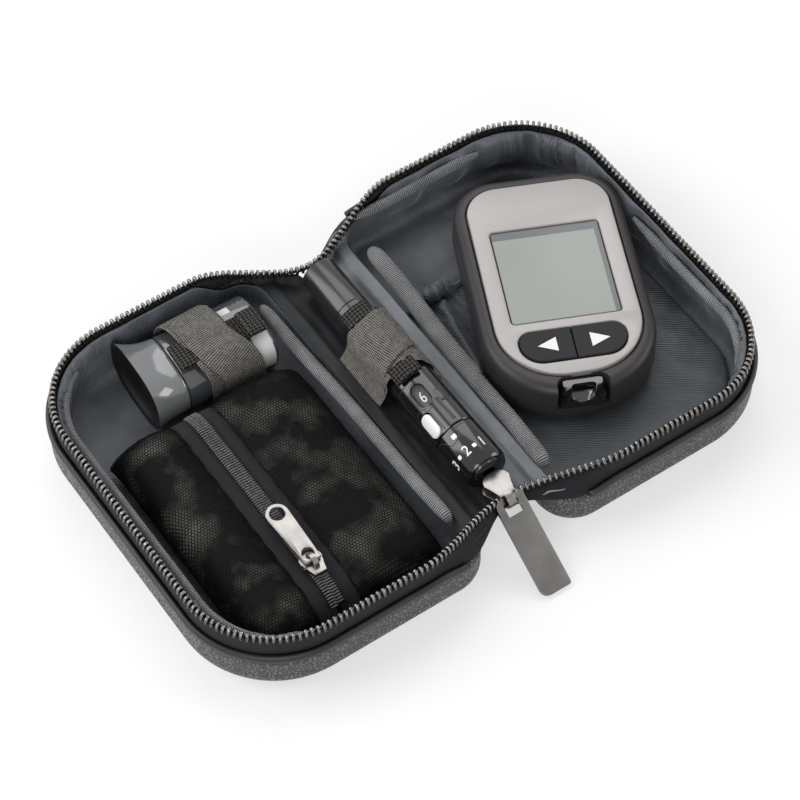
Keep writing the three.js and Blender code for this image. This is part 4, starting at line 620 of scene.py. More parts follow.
def rounded_plan(x0, x1, y0, y1, radii, inset, steps):
    """A rounded outline, anticlockwise from the near right corner, drawn in by an inset."""
    x0, x1, y0, y1 = x0 + inset, x1 - inset, y0 + inset, y1 - inset
    a, b, c, d = (max(r - inset, 0.3) for r in radii)
    return np.vstack([
        corner_points(x1 - a, y0 + a, a, -QUARTER, steps),
        corner_points(x1 - b, y1 - b, b, 0, steps),
        corner_points(x0 + c, y1 - c, c, QUARTER, steps),
        corner_points(x0 + d, y0 + d, d, math.pi, steps),
    ])


def at_places(line, travel, at):
    """Points of a flat line where the way along it has given values."""
    return np.stack([np.interp(at, travel, line[:, k]) for k in (0, 1)], 1)


def spaced_ring(outline, pitch):
    """The closed outline again, with points at an even pitch."""
    closed = np.vstack([outline, outline[:1]])
    travel = travelled(closed)
    count = int(round(travel[-1] / pitch))
    return at_places(closed, travel, np.linspace(0, travel[-1], count, endpoint=False))


def tray_plan(inset, steps):
    radii = (OUTER_CORNER, OUTER_CORNER, SPINE_CORNER, SPINE_CORNER)
    return rounded_plan(SPINE_HALF, TRAY_REACH, -CASE_HALF, CASE_HALF, radii, inset, steps)


def at_height(outline, z):
    return np.column_stack([outline, np.broadcast_to(z, len(outline))])


def rim_fall(x):
    return 1 - smooth(np.asarray(x, float) / RIM_FALL_START)


def rim_height(x):
    return RIM_TOP - rim_fall(x) * (RIM_TOP - RIM_END_HEIGHT)


def unit(rows):
    return rows / np.linalg.norm(rows, axis=1)[:, None]


def outward(along):
    """Normals to the right of the way along an outline."""
    along = unit(along)
    return np.stack([along[:, 1], -along[:, 0]], 1)


def zipped_sides(inset, pitch, start):
    """Stations round the three zipped sides, near end to far end: x, y and the outward normal."""
    reach, half, radius = TRAY_REACH - inset, CASE_HALF - inset, OUTER_CORNER - inset
    line = np.vstack([
        [(start, -half)],
        corner_points(reach - radius, -half + radius, radius, -QUARTER, 40),
        corner_points(reach - radius, half - radius, radius, 0, 40),
        [(start, half)],
    ])
    travel = travelled(line)
    spots = at_places(line, travel, np.linspace(0, travel[-1], int(round(travel[-1] / pitch)) + 1))
    return spots, outward(np.gradient(spots, axis=0))


def off_stations(spots, normals, out, z, drawn):
    """Points off the stations, drawn towards the case's middle as the rim is."""
    xy = spots + normals * out
    xy[:, 1] -= np.sign(spots[:, 1]) * drawn
    return at_height(xy, z)


SIDES = (("left", -1), ("right", 1))


def to_side(points, sign):
    return np.asarray(points) * np.array([sign, 1, 1])


print("rim length", len(zipped_sides(TAPE_INSET, 1.0, 3.0)[0]), "mm a tray")

# %% [markdown]
# ## The leather shells
# Each shell is a moulded board under leather: a soft foot, upright sides and a hollow inside. It
# is lofted through insets of the outline. The foot's curve gets nine rings so that it shades
# smoothly, and the sides lean in and out by a few tenths, as pulled leather does.

# %% Shells
WALL, FOOT_ROUND, INNER_ROUND, SHELL_STEPS = 2.0, 5.5, 3.6, 24


def shell_rings():
    stations = round_steps(FOOT_ROUND, 9)
    stations += [(0.15 * math.sin((z - 5.5) * 0.6), z) for z in (7.0, 8.6, 10.2, 11.6)]
    stations += [(0.25, 12.2), (0.7, SHELL_HEIGHT), (WALL - 0.2, SHELL_HEIGHT), (WALL, 12.2)]
    stations += [(WALL + inset, WALL + up) for up, inset in round_steps(INNER_ROUND, 5)]
    return [at_height(tray_plan(inset, SHELL_STEPS), z) for inset, z in stations]


for side, sign in SIDES:
    shell = skin(f"{side}_leather_shell", to_side(shell_rings(), sign), leather)
    settle(shell, f"{side}_tray", f"{side}_shell", slot="shell_leather")
print("shell points", len(shell.data.vertices))

# %% [markdown]
# ## The leather lip
# A smooth lip is sewn on the shell's edge along the zipped sides. It fades out towards the spine.
# Its section is round above and tucked in below, so it shows one long highlight.

# %% Lip
WELT_START, WELT_HEIGHT, WELT_FADE = 19.6, 2.8, 9.0
LIP_SECTION = (
    (-1.1, 0.0), (-0.2, 0.0), (0.25, 0.04), (0.42, 0.18), (0.5, 0.38), (0.5, 0.58),
    (0.38, 0.78), (0.1, 0.93), (-0.3, 1.0), (-0.75, 0.94), (-1.1, 0.8), (-1.1, 0.4),
)


def lip_rings():
    spots, normals = zipped_sides(0.0, 1.6, WELT_START)
    past = np.clip(SPINE_HALF + SPINE_CORNER - spots[:, 0], 0, None)
    recede = SPINE_CORNER - np.sqrt(SPINE_CORNER ** 2 - past ** 2)
    height = WELT_HEIGHT * (0.5 + 0.5 * smooth((spots[:, 0] - WELT_START) / WELT_FADE))
    return np.stack([
        off_stations(spots, normals, out, TAPE_FOOT + height * up, recede) for out, up in LIP_SECTION
    ], 1)


for side, sign in SIDES:
    lip = skin(f"{side}_leather_lip", to_side(lip_rings(), sign), lip_leather)
    settle(lip, f"{side}_tray", f"{side}_welt", slot="shell_leather")

# %% [markdown]
# ## The zipper's tape
# The tape stands inside the lip and carries the teeth. At the two ends of the spine both trays' tapes
# fall and come together, and that soft corner bends when the case closes. So each tape is one piece from
# end to end, corners included.

# %% Tape
TAPE_HALF, TOOTH_HEIGHT, NEAR_END, FAR_END = 0.3, 1.7, 3.4, 0.6


def rim_stations(pitch, near_end, far_end):
    """Stations of the whole rim of a tray, from an end of the spine round to the other."""
    spots, normals = zipped_sides(TAPE_INSET, pitch, min(near_end, far_end))
    kept = spots[:, 0] >= np.where(spots[:, 1] < 0, near_end, far_end)
    return spots[kept], normals[kept]


def tape_rings():
    spots, normals = rim_stations(1.2, NEAR_END, FAR_END)
    corner = CASE_HALF - TAPE_INSET - GUSSET_FOOT_HALF
    foot_draw = corner * (1 - smooth(spots[:, 0] / GUSSET_START))
    top_draw = rim_fall(spots[:, 0]) * RIM_DRAW
    top = rim_height(spots[:, 0]) - TOOTH_HEIGHT - 0.1
    rings = []
    for face, shares in ((1, np.linspace(0, 1, 8)), (-1, np.linspace(1, 0, 8))):
        for share in shares:
            out = TAPE_HALF * face + 0.25 * math.sin(math.pi * share)
            z = TAPE_FOOT + (top - TAPE_FOOT) * share
            draw = foot_draw + (top_draw - foot_draw) * share
            rings.append(off_stations(spots, normals, out, z, draw))
    return np.stack(rings, 1)


def rim_bend(sign):
    """The spine and two points between the tray and the spine, over the gussets."""
    return "spine", (sign * 17, 0, 13), (sign * 4, 0, 13)


for side, sign in SIDES:
    tape = skin(f"{side}_rim_tape", to_side(tape_rings(), sign), tape_cloth)
    settle(
        tape, f"{side}_tray", f"{side}_zipper_tape", f"{side}_near_gusset", f"{side}_far_gusset",
        slot="zipper_tape", bend=rim_bend(sign),
    )

# %% [markdown]
# ## A hundred and sixty teeth a side
# The teeth repeat at 1.65 mm along the rim: a job for Geometry Nodes. The tree takes the rim as a
# polyline, resamples it at the pitch, and puts one tooth on each point, turned along the path. A
# tooth is a bead with two legs that grip the tape. The tree ends by realizing the instances.

# %% Teeth by Geometry Nodes
TOOTH_PITCH = 1.65
TOOTH_PROFILE = [
    (-1.0, -0.9), (-0.95, 0.5), (-0.8, 1.05), (-0.42, 1.42), (0.0, 1.52), (0.42, 1.42),
    (0.8, 1.05), (0.95, 0.5), (1.0, -0.9), (0.5, -0.9), (0.4, 0.2), (-0.4, 0.2), (-0.5, -0.9),
]
TOOTH_ROWS = [(-0.44, 0.72), (-0.34, 0.93), (0.0, 1.0), (0.34, 0.93), (0.44, 0.72)]


def bead_tooth():
    """One tooth in metres: X along the zipper, Y across the tape, Z up."""
    points = [
        (x * MM, y * grow * MM, (0.3 + (z - 0.3) * grow) * MM)
        for x, grow in TOOTH_ROWS for y, z in TOOTH_PROFILE
    ]
    m, last = len(TOOTH_PROFILE), len(points) - len(TOOTH_PROFILE)
    faces = [
        (r + j, r + (j + 1) % m, r + m + (j + 1) % m, r + m + j)
        for r in range(0, last, m) for j in range(m)
    ]
    faces += [tuple(range(m))[::-1], tuple(range(last, last + m))]
    mesh = bpy.data.meshes.new("bead_tooth")
    mesh.from_pydata(points, [], faces)
    mesh.shade_smooth()
    return turn_outwards(stand("bead_tooth", mesh))


def new_tree(name, **kinds):
    """A geometry tree with a mesh in and out and its own inputs, and what it is given."""
    tree = bpy.data.node_groups.new(name, "GeometryNodeTree")
    for key, kind in {"Geometry": "Geometry", **kinds}.items():
        tree.interface.new_socket(key, in_out="INPUT", socket_type=f"NodeSocket{kind}")
    tree.interface.new_socket("Geometry", in_out="OUTPUT", socket_type="NodeSocketGeometry")
    return tree, lay_node(tree, "NodeGroupInput").outputs


def end_tree(tree, made, finish):
    """Realizes what the tree has made, and gives it its finish."""
    real = lay_node(tree, "GeometryNodeRealizeInstances", {"Geometry": made})
    done = lay_node(
        tree, "GeometryNodeSetMaterial", {"Geometry": real.outputs[0], "Material": finish.material},
    )
    lay_node(tree, "NodeGroupOutput", {"Geometry": done.outputs[0]})
    return tree


def grow(thing, tree, **values):
    """What the tree makes of a thing becomes its plain mesh."""
    modifier = thing.modifiers.new("grow", "NODES")
    modifier.node_group = tree
    for item in tree.interface.items_tree:
        if item.in_out == "INPUT" and item.name in values:
            modifier[item.identifier] = values[item.name]
    return apply_modifiers(thing)


def repeat_tree(name, finish):
    """A tree that puts copies of an object along a polyline, at a pitch, turned with it."""
    tree, given = new_tree(name, Piece="Object", Pitch="Float", Jitter="Float")
    curve = lay_node(tree, "GeometryNodeMeshToCurve", {"Mesh": given["Geometry"]})
    even = lay_node(
        tree, "GeometryNodeResampleCurve", {"Curve": curve.outputs["Curve"], "Length": given["Pitch"]},
        mode="LENGTH",
    )
    tangent = lay_node(tree, "GeometryNodeInputTangent")
    upright = lay_node(
        tree, "GeometryNodeInputNamedAttribute", {"Name": "upright"}, data_type="FLOAT_VECTOR",
    )
    turn = lay_node(
        tree, "FunctionNodeAxesToRotation",
        {"Primary Axis": tangent.outputs[0], "Secondary Axis": upright.outputs["Attribute"]},
        primary_axis="X", secondary_axis="Z",
    )
    low, high = (
        lay_node(tree, "ShaderNodeMath", {0: 1.0, 1: given["Jitter"]}, operation=sign).outputs[0]
        for sign in ("SUBTRACT", "ADD")
    )
    size = lay_node(
        tree, "FunctionNodeRandomValue", {"Seed": 7, 2: low, 3: high}, data_type="FLOAT",
    )
    piece = lay_node(tree, "GeometryNodeObjectInfo", {"Object": given["Piece"]})
    copies = lay_node(tree, "GeometryNodeInstanceOnPoints", {
        "Points": even.outputs["Curve"], "Instance": piece.outputs["Geometry"],
        "Rotation": turn.outputs["Rotation"], "Scale": size.outputs[1],
    })
    return end_tree(tree, copies.outputs["Instances"], finish)


def along_line(name, line, uprights, copy, finish, pitch, jitter=0.0):
    """Copies of a small object along a line in millimetres, as one plain mesh."""
    mesh = bpy.data.meshes.new(name)
    mesh.from_pydata(place(line).tolist(), [(i, i + 1) for i in range(len(line) - 1)], [])
    attribute = mesh.attributes.new("upright", "FLOAT_VECTOR", "POINT")
    attribute.data.foreach_set("vector", np.asarray(uprights, float).ravel())
    thing = stand(name, mesh)
    grow(thing, repeat_tree(name + "_tree", finish), Piece=copy, Pitch=pitch * MM, Jitter=jitter)
    if "upright" in thing.data.attributes:
        thing.data.attributes.remove(thing.data.attributes["upright"])
    return thing


tooth = bead_tooth()
for side, sign in SIDES:
    spots, normals = rim_stations(0.8, NEAR_END - 0.6, FAR_END)
    height = rim_height(spots[:, 0]) - TOOTH_HEIGHT + 0.25
    line = off_stations(spots, normals, 0, height, rim_fall(spots[:, 0]) * RIM_DRAW)
    lean = np.column_stack([normals * -0.12, np.ones(len(line))])
    teeth = along_line(
        f"{side}_rim_teeth", to_side(line, sign), to_side(lean, sign), tooth, teeth_metal,
        TOOTH_PITCH, 0.03,
    )
    print(teeth.name, len(teeth.data.polygons), "faces")
    settle(
        teeth, f"{side}_tray", f"{side}_zipper_teeth", slot="zipper_teeth", bend=rim_bend(sign),
    )
bpy.data.objects.remove(tooth)

# %% [markdown]
# ## The linings
# Each tray has a loose nylon lining, sewn in below the teeth. It lies flat on the floor and stands
# up inside the tape, with soft upright folds where there is too much cloth, most of all in the
# corners. The folds are moved in by formula: many soft folds, and narrow gathers at the outer
# corners, strongest halfway up the wall. Solidify gives the cloth its thickness afterwards.

# %% Linings
FLOOR_TOP, LINING_IN, LINING_BELOW_RIM, FOLD_COUNT = 2.8, 3.4, 2.8, 44
LINING_PITCH, LINING_THICK, LEFT_SEED, RIGHT_SEED = 0.75, 0.4, 11, 5
METER_AT, METER_TURN, METER_HALF, METER_CORNER = (52.2, 1.5), -24.5, (24.3, 38.55), 18.0


def room_inside(base, side):
    """How far the cloth may stand in before it meets what the tray holds."""
    if side == "left":
        held = np.where(base[:, 1] > 50, 6.4, 7.3)
    else:
        turn = math.radians(METER_TURN)
        x, y = (base - METER_AT).T
        along = np.abs(x * math.cos(turn) + y * math.sin(turn)) - (METER_HALF[0] - METER_CORNER)
        up = np.abs(y * math.cos(turn) - x * math.sin(turn)) - (METER_HALF[1] - METER_CORNER)
        held = np.hypot(np.maximum(along, 0), np.maximum(up, 0)) - METER_CORNER
    return np.clip(held - LINING_IN - 1.1, 0.1, 3.0)


def fold_depth(base, travel, seed):
    """How far the cloth's long folds and its gathers stand in, in millimetres."""
    chance = np.random.default_rng(seed)
    folds = np.zeros(len(base))
    for _ in range(FOLD_COUNT):
        at, width = chance.uniform(0, travel[-1]), chance.uniform(1.4, 4.6)
        folds += chance.uniform(0.5, 2.3) * np.exp(-((travel - at) / width) ** 2)
    corners = np.minimum(*(np.linalg.norm(base - (78, y), axis=1) for y in (47, -47)))
    uneven = travel + 1.3 * np.sin(travel * 0.37) + 0.8 * np.sin(travel * 0.91)
    gathers = 2.6 * np.abs(np.sin(uneven * math.pi / 4.4)) ** 0.6 * np.exp(-(corners / 20) ** 2)
    outer = smooth((base[:, 0] - 24) / 12)
    return folds * (0.2 + 0.8 * outer), gathers * outer


def lining_rings(seed, side):
    """Rings from the sewn top edge down the wall, round the foot and over the floor."""
    base = spaced_ring(tray_plan(0, 40), LINING_PITCH)
    out, travel = outward(np.roll(base, -1, 0) - np.roll(base, 1, 0)), np.arange(len(base)) * LINING_PITCH
    room, foot = room_inside(base, side), FLOOR_TOP + INNER_ROUND
    zipped = smooth((base[:, 0] - 21.0) / 13.0)
    low = SHELL_HEIGHT - 0.6
    top = low + (rim_height(base[:, 0]) - LINING_BELOW_RIM - low) * zipped
    lean = rim_fall(base[:, 0]) * RIM_DRAW * zipped
    rings = []
    for t in np.linspace(1, 0, 15):
        folds, gathers = fold_depth(base, travel + 4.0 * t * np.sin(travel / 23.0), seed)
        depth = folds * math.sin(math.pi * t) + gathers * math.sin(math.pi * t ** 2)
        xy = base - out * (LINING_IN + room * np.tanh(depth / room))[:, None]
        xy[:, 1] -= np.sign(base[:, 1]) * lean * t
        rings.append(at_height(xy, foot + (top - foot) * t))
    for up, inset in round_steps(INNER_ROUND, 6)[1:]:
        rings.append(at_height(base - out * (LINING_IN + inset), FLOOR_TOP + up))
    edge, middle = rings[-1], np.array([50.0, 0.0, FLOOR_TOP])
    return rings + [middle + (edge - middle) * share for share in (0.85, 0.65, 0.4, 0.15)]


def thicken(thing, thick, offset):
    solid = thing.modifiers.new("cloth", "SOLIDIFY")
    solid.thickness, solid.offset, solid.use_even_offset = thick * MM, offset, False
    return apply_modifiers(thing)


def cloth_area(thing):
    """Half the skin's area, in square metres."""
    area = sum(face.area for face in thing.data.polygons) / 2
    print(thing.name, "cloth", round(area * 10000, 1), "square cm")
    return area


for side, sign, seed, cloth in (
    ("left", -1, LEFT_SEED, lining_dark), ("right", 1, RIGHT_SEED, lining_pale),
):
    lining = skin(f"{side}_tray_lining", to_side(lining_rings(seed, side), sign), cloth)
    with edited(lining.data) as made:
        lid = [
            f for f in made.faces if len(f.verts) == 3 and f.calc_center_median().z > 8 * MM
        ]
        bmesh.ops.delete(made, context="FACES", geom=lid)
        ground = [f.normal.z for f in made.faces if f.calc_center_median().z < 3.2 * MM]
        if sum(ground) < 0:
            bmesh.ops.reverse_faces(made, faces=made.faces)
    thicken(lining, LINING_THICK, -1)
    settle(lining, f"{side}_tray", f"{side}_lining", slot="lining_nylon")
    cloth_area(lining)

# %% [markdown]
# ## Bound seams
# The seams are wrapped in grosgrain ribbon, so they show as plump ribbed ridges: one along each
# side of the spine, and one inside each tray's outer wall. A ridge is an oval section along a
# path. On the right, two ribbons meet, and the upper one laps over the lower in a small step.

# %% Ridges


def swept(line, ups, across_by, up_by):
    """Rings along a line, each with its offsets across the line and up from it."""
    line = np.asarray(line, float)
    along = unit(np.gradient(line, axis=0))
    across = unit(np.cross(along, np.broadcast_to(np.asarray(ups, float), line.shape)))
    up = np.cross(across, along)
    return line[:, None] + across[:, None] * across_by[..., None] + up[:, None] * up_by[..., None]


def down_line(values, line):
    """One value, or one for each point of a line, as a column."""
    return np.broadcast_to(values, len(line))[:, None]


def tube(line, half_across, half_up, ups=(0, 0, 1), points=18):
    """Rings of an oval section along a line; the radii may change along it."""
    turn = np.linspace(0, 2 * math.pi, points, endpoint=False)
    across, up = down_line(half_across, line), down_line(half_up, line)
    return swept(line, ups, across * np.cos(turn), up * np.sin(turn))


for side, sign in SIDES:
    share = np.linspace(0, 1, 120)
    height = 12.9 + 0.25 * np.sin(share * 6.0 + 1.0) - 0.8 * (1 - smooth(share / 0.03))
    line = np.column_stack([
        15.4 + 2.4 * share + 0.25 * np.sin(share * 9.0), -44.2 + 88.6 * share, height,
    ])
    across = 1.85
    if side == "right":
        lapped = smooth((share - 0.395) / 0.012)
        line[:, 0] += 0.5 + 0.3 * lapped
        across = 2.35 + 0.35 * lapped
    ends = np.sqrt(np.clip(1 - (np.abs(share * 2 - 1) ** 24), 0.05, 1))
    rings = tube(line, across * ends, 1.9 * ends)
    ridge = skin(f"{side}_spine_ridge", to_side(rings, sign), grosgrain)
    settle(ridge, f"{side}_tray", f"{side}_spine_seam", slot="binding")

for name, sign, body, node, first, last in (
    ("left_wall_binding", -1, "left_tray", "left_side_binding", 0.285, 0.715),
    ("right_near_wall_binding", 1, "right_tray", "right_near_binding", 0.3, 0.535),
    ("right_far_wall_binding", 1, "right_tray", "right_far_binding", 0.755, 0.93),
):
    spots, _ = zipped_sides(5.2, 0.8, 0.0)
    share = np.linspace(0, 1, len(spots))
    spots = spots[(share >= first) & (share <= last)]
    share = np.linspace(0, 1, len(spots))
    line = at_height(spots, 16.6 + 0.35 * np.sin(share * 7.0))
    swell = 0.45 + 0.55 * np.clip(np.sin(math.pi * share) * 2.2, 0, 1)
    ridge = skin(name, to_side(tube(line, 1.25 * swell, 1.9 * swell), sign), grosgrain)
    settle(ridge, body, node, slot="binding")

# %% [markdown]
# ## The spine's satin and leather
# Between the ridges a finely ribbed satin covers the spine. It dips between the trays, lies over their
# edges and climbs the tape at both ends. The case folds along both edges of the spine, so the satin is
# two pieces that meet under the pen.

# %% Spine cloth and spine leather
SPINE_TOP, SPINE_SAG, SPINE_LEATHER_HALF, SATIN_THICK = 12.15, 1.9, 10.1, 0.3


def lining_edge(y):
    past = np.clip(np.abs(y) - (CASE_HALF - SPINE_CORNER), 0, 8.05)
    return SPINE_HALF + SPINE_CORNER - np.sqrt(8.1 ** 2 - past ** 2) + 0.15


def satin_point(a, b):
    """Where share a across the half spine and share b along it lie."""
    foot = CASE_HALF - TAPE_INSET - GUSSET_FOOT_HALF
    x = lining_edge(b * 52.0) * a
    y = b * (CASE_HALF - TAPE_INSET - foot * (1 - smooth(x / GUSSET_START)) - 0.9)
    x = lining_edge(y) * a
    sag = SPINE_SAG * (1 - np.clip(x / SPINE_LEATHER_HALF, 0, 1) ** 2)
    z = SPINE_TOP - sag + 0.6 * smooth((x - 9.2) / 1.6)
    z += 0.16 * np.sin(x * 1.5 + 0.06 * y) * np.sin(y * 0.13 + 1.1) * smooth(x / 4)
    clear = np.where(b < 0, smooth((x - 4.5) / 3), smooth((x - 1.0) / 3))
    z += 2.4 * smooth((np.abs(b) - 0.945) / 0.055) * clear
    return np.stack([x, y, z], -1)


# The left half takes the near-black copy of the satin: painted shadow of the pen.
for side, sign, cloth in (("left", -1, satin_painted_shadow), ("right", 1, satin)):
    grid = np.array([
        satin_point(np.linspace(0.0005, 1, 26), np.full(26, b)) for b in np.linspace(-1, 1, 150)
    ])
    half = skin(f"{side}_spine_satin", to_side(grid, sign), cloth, closed=False)
    turn_up(half)
    thicken(half, SATIN_THICK, -1)
    settle(
        half, f"{side}_tray", "spine_lining", slot="spine_satin",
        bend=("spine", (sign * 13.0, 0, 12.5), (sign * 7.8, 0, 12.5)),
    )
    min(cloth_area(half), 0.00235)

x = np.linspace(-10.2, 10.2, 25)
z = SPINE_TOP - 1.05 - SPINE_SAG * (1 - (x / SPINE_LEATHER_HALF) ** 2)
section = np.vstack([np.column_stack([x, z]), np.column_stack([x, z - 1.1])[::-1]])
rings = [
    np.insert(section, 1, y, axis=1) for y in np.linspace(-46.6, 46.6, 40)
]
settle(skin("spine_leather", rings, leather), "spine", "spine_strip", slot="shell_leather")

# %% [markdown]
# ## The mesh pocket
# Two nets puff up from the tray's floor and meet at a zipper. The net is a knitted honeycomb with
# holes of about a millimetre. Geometry Nodes make it from a plain sheet of hexagons: each face is
# extruded by nothing, the new top is shrunk and deleted, and a honeycomb of strands is left.

# %% Pocket shape
POCKET_LEFT, POCKET_RIGHT, POCKET_TOP, POCKET_FOOT = -79.0, -20.4, 16.6, 3.1
POCKET_ZIP_X, POCKET_SLOT, POCKET_TAPE_WIDTH, EDGE_ROUND = -54.6, 1.2, 6.0, 11.0
SWELL_TOP = 0.38


def pocket_rise(y, near, far):
    past = np.maximum(np.maximum(near + EDGE_ROUND - y, y - (far - EDGE_ROUND)), 0)
    return np.sqrt(np.clip(1 - (past / EDGE_ROUND) ** 2, 0, 1)) * 0.7 + 0.3


def pocket_swell(share):
    near = 1 + 0.2 * np.sin(QUARTER * np.clip(share / SWELL_TOP, 0, 1))
    past = np.clip((share - SWELL_TOP) / (1 - SWELL_TOP), 0, 1)
    return np.where(share < SWELL_TOP, near, 1.2 * (np.sqrt(1 - past ** 2) * 0.7 + 0.3))


def pocket_point(x, along, across, lift=0.0):
    """A point of the pocket's skin from shares along and across it."""
    past = np.clip(-x - (TRAY_REACH - OUTER_CORNER), 0, None)
    near = np.maximum(-52.0, OUTER_CORNER - CASE_HALF - np.sqrt(23.3 ** 2 - past ** 2))
    far = 25.6 - 0.4 * (x - POCKET_LEFT) / (POCKET_RIGHT - POCKET_LEFT)
    y = near + (far - near) * along
    rise = (POCKET_TOP - POCKET_FOOT) * pocket_rise(y, near, far)
    return np.stack([x + 0 * y, y, POCKET_FOOT + rise * pocket_swell(across) + lift], -1)

# %% [markdown]
# ## The net
# Each hexagon becomes a hole with six strands round it. A plain backing sheet lies close under the net
# and carries the light and dark patches that show through it; the light patches are painted highlights.

# %% Net by Geometry Nodes
NET_CELL, NET_LENGTH, HOLE_SHARE, NET_THICK = 1.05, 86.0, 0.78, 0.18
BACKING_THICK, BACKING_DROP = 0.15, 0.75


def honeycomb_tree():
    """Turns each hexagon of a sheet into six strands round a hole."""
    tree, given = new_tree("honeycomb", Hole="Float")
    rise = lay_node(
        tree, "GeometryNodeExtrudeMesh",
        {"Mesh": given["Geometry"], "Offset Scale": 0.0, "Individual": True},
    ).outputs
    shrink = lay_node(
        tree, "GeometryNodeScaleElements",
        {"Geometry": rise["Mesh"], "Selection": rise["Top"], "Scale": given["Hole"]},
    )
    cut = lay_node(
        tree, "GeometryNodeDeleteGeometry",
        {"Geometry": shrink.outputs["Geometry"], "Selection": rise["Top"]}, domain="FACE",
    )
    return end_tree(tree, cut.outputs["Geometry"], net_cord)


def hexagon_sheet(name, inner_x, outer_x, width):
    """A sheet of hexagons laid on the pocket's skin."""
    index, faces = {}, []
    radius = NET_CELL / math.sqrt(3)
    for j in range(-1, int(NET_LENGTH / (1.5 * radius)) + 2):
        for i in range(-1, int(width / NET_CELL) + 2):
            cx, cy = (i + 0.5 * (j % 2)) * NET_CELL, j * 1.5 * radius
            corners = [
                (cx + radius * math.cos(turn), cy + radius * math.sin(turn))
                for turn in (math.pi / 6 + k * math.pi / 3 for k in range(6))
            ]
            ring = list(dict.fromkeys(
                (round(min(max(x, 0.0), width), 3), round(min(max(y, 0.0), NET_LENGTH), 3))
                for x, y in corners
            ))
            face = [index.setdefault(spot, len(index)) for spot in ring]
            x, y = np.array(ring).T
            if abs((x * np.roll(y, -1) - np.roll(x, -1) * y).sum()) > 0.25 * NET_CELL ** 2:
                faces.append(face)
    across, along = np.array(list(index)).T / [[width], [NET_LENGTH]]
    points = pocket_point(inner_x + (outer_x - inner_x) * across, along, across)
    points[:, 2] += 0.12 * np.sin(points[:, 1] * 0.9 + points[:, 0]) * np.sin(points[:, 0] * 0.7)
    return make_mesh(name, points, faces, net_cord)


honeycomb = honeycomb_tree()
for side, out, outer_x, width in (("left", -1, POCKET_LEFT, 23.0), ("right", 1, POCKET_RIGHT, 34.0)):
    inner_x = POCKET_ZIP_X + out * (POCKET_SLOT / 2 + POCKET_TAPE_WIDTH - 0.4)
    net = hexagon_sheet(f"{side}_pocket_net", inner_x, outer_x, width)
    thicken(grow(net, honeycomb, Hole=HOLE_SHARE), NET_THICK, 0)
    print(net.name, len(net.data.polygons), "faces")
    settle(net, "left_tray", f"pocket_net_{side}", slot="net")
    along = np.linspace(0.004, 0.996, 90)
    rows = [
        pocket_point(inner_x + (outer_x - inner_x) * a, along, a, -BACKING_DROP)
        for a in np.linspace(0, 1, 44)
    ]
    backing = skin(f"{side}_pocket_backing", rows, pocket_backing_painted_light, closed=False)
    turn_up(backing)
    settle(thicken(backing, BACKING_THICK, -1), "left_tray", slot="net")

# %% [markdown]
# ## The pocket's zipper
# Two black tapes carry a nylon coil. From a step away the closed coil reads as close, slanted
# ribs, so a ribbed bead is repeated along each tape's edge with the same tree as the teeth. The
# two rows are half a pitch apart and interlock over the slot.

# %% Pocket tapes and coil
along = 0.5 - 0.5 * np.cos(np.linspace(0, math.pi, 60))
for side, out in SIDES:
    inner = POCKET_ZIP_X + out * POCKET_SLOT / 2
    outer = inner + out * POCKET_TAPE_WIDTH
    rings = [
        pocket_point(x, along, 0.0, lift)
        for x, lift in ((inner, 0.0), (outer, 0.0), (outer, -0.5), (inner, -0.5))
    ]
    tape = skin(f"{side}_pocket_tape", np.stack(rings, 1), tape_cloth)
    settle(tape, "left_tray", f"pocket_tape_{side}", slot="zipper_tape")

BEAD_HALF, BEAD_PITCH, COIL_OUT, COIL_LIFT = 1.15, 0.8, 0.95, 0.62
bead_rings = tube(
    [(0, y, 0) for y in np.linspace(-BEAD_HALF, BEAD_HALF, 7)],
    0.3 * np.array([0.5, 0.9, 1, 1, 1, 0.9, 0.5]),
    0.42 * np.array([0.4, 0.85, 1, 1, 1, 0.85, 0.4]), points=8,
)
coil_bead = skin("coil_bead", bead_rings, net_cord)
coil_bead.data.transform(Matrix.Translation((0, -CASE_Y, 0)))
for side, out in SIDES:
    along = np.linspace(0.035 + 0.005 * (out > 0), 0.965, 120)
    line = pocket_point(POCKET_ZIP_X + out * COIL_OUT, along, 0.0, COIL_LIFT)
    uprights = np.tile((0.0, 0.0, 1.0), (len(line), 1))
    coil = along_line(f"{side}_pocket_coil", line, uprights, coil_bead, coil_nylon, BEAD_PITCH)
    settle(coil, "left_tray", f"pocket_coil_{side}", slot="net")
bpy.data.objects.remove(coil_bead)

# %% [markdown]
# ## Sliders and pulls
# The sliders and pulls are die-cast and plated. Their CAD shapes are right, so each is copied,
# its loose triangles are merged and its sharp edges get a small bevel: on polished metal the
# bright line along an edge is most of what one sees.

# %% Sliders and pulls
for node, body, finish, width, slot_name in (
    ("main_slider", "spine", nickel, 0.3, "slider_nickel"),
    ("main_puller", "main_puller", gunmetal, 0.16, "puller_gunmetal"),
    ("pocket_slider", "pocket_slider", nickel, 0.22, "slider_nickel"),
    ("pocket_puller", "pocket_puller", nickel, 0.2, "slider_nickel"),
):
    settle(refined(node, f"{node}_plated", finish, width), body, node, slot=slot_name)

# %% [markdown]
# ## Things that lie turned in the case
# The vial, the pen and the meter are each modelled in their own frame and then laid in the case.
# The meter lies flat on its hook patch, turned to fit between the spine and the corner.
# Webbing and elastic are flat bands: a wide, thin section swept along a line.

# %% Laying groups, and flat bands


class Lay:
    """Takes a group's own millimetres to the case's."""

    def __init__(self, at, turn=0.0):
        self.at = np.array(at, float)
        self.spin = np.array(Matrix.Rotation(math.radians(turn), 3, "Z"))

    def __call__(self, points):
        return np.asarray(points, float) @ self.spin.T + self.at


vial_lay = Lay((-41.6, 39.8, 10.9), -2)
pen_lay = Lay((0, 0, 17.2))
meter_lay = Lay((*METER_AT, 5.6), METER_TURN)


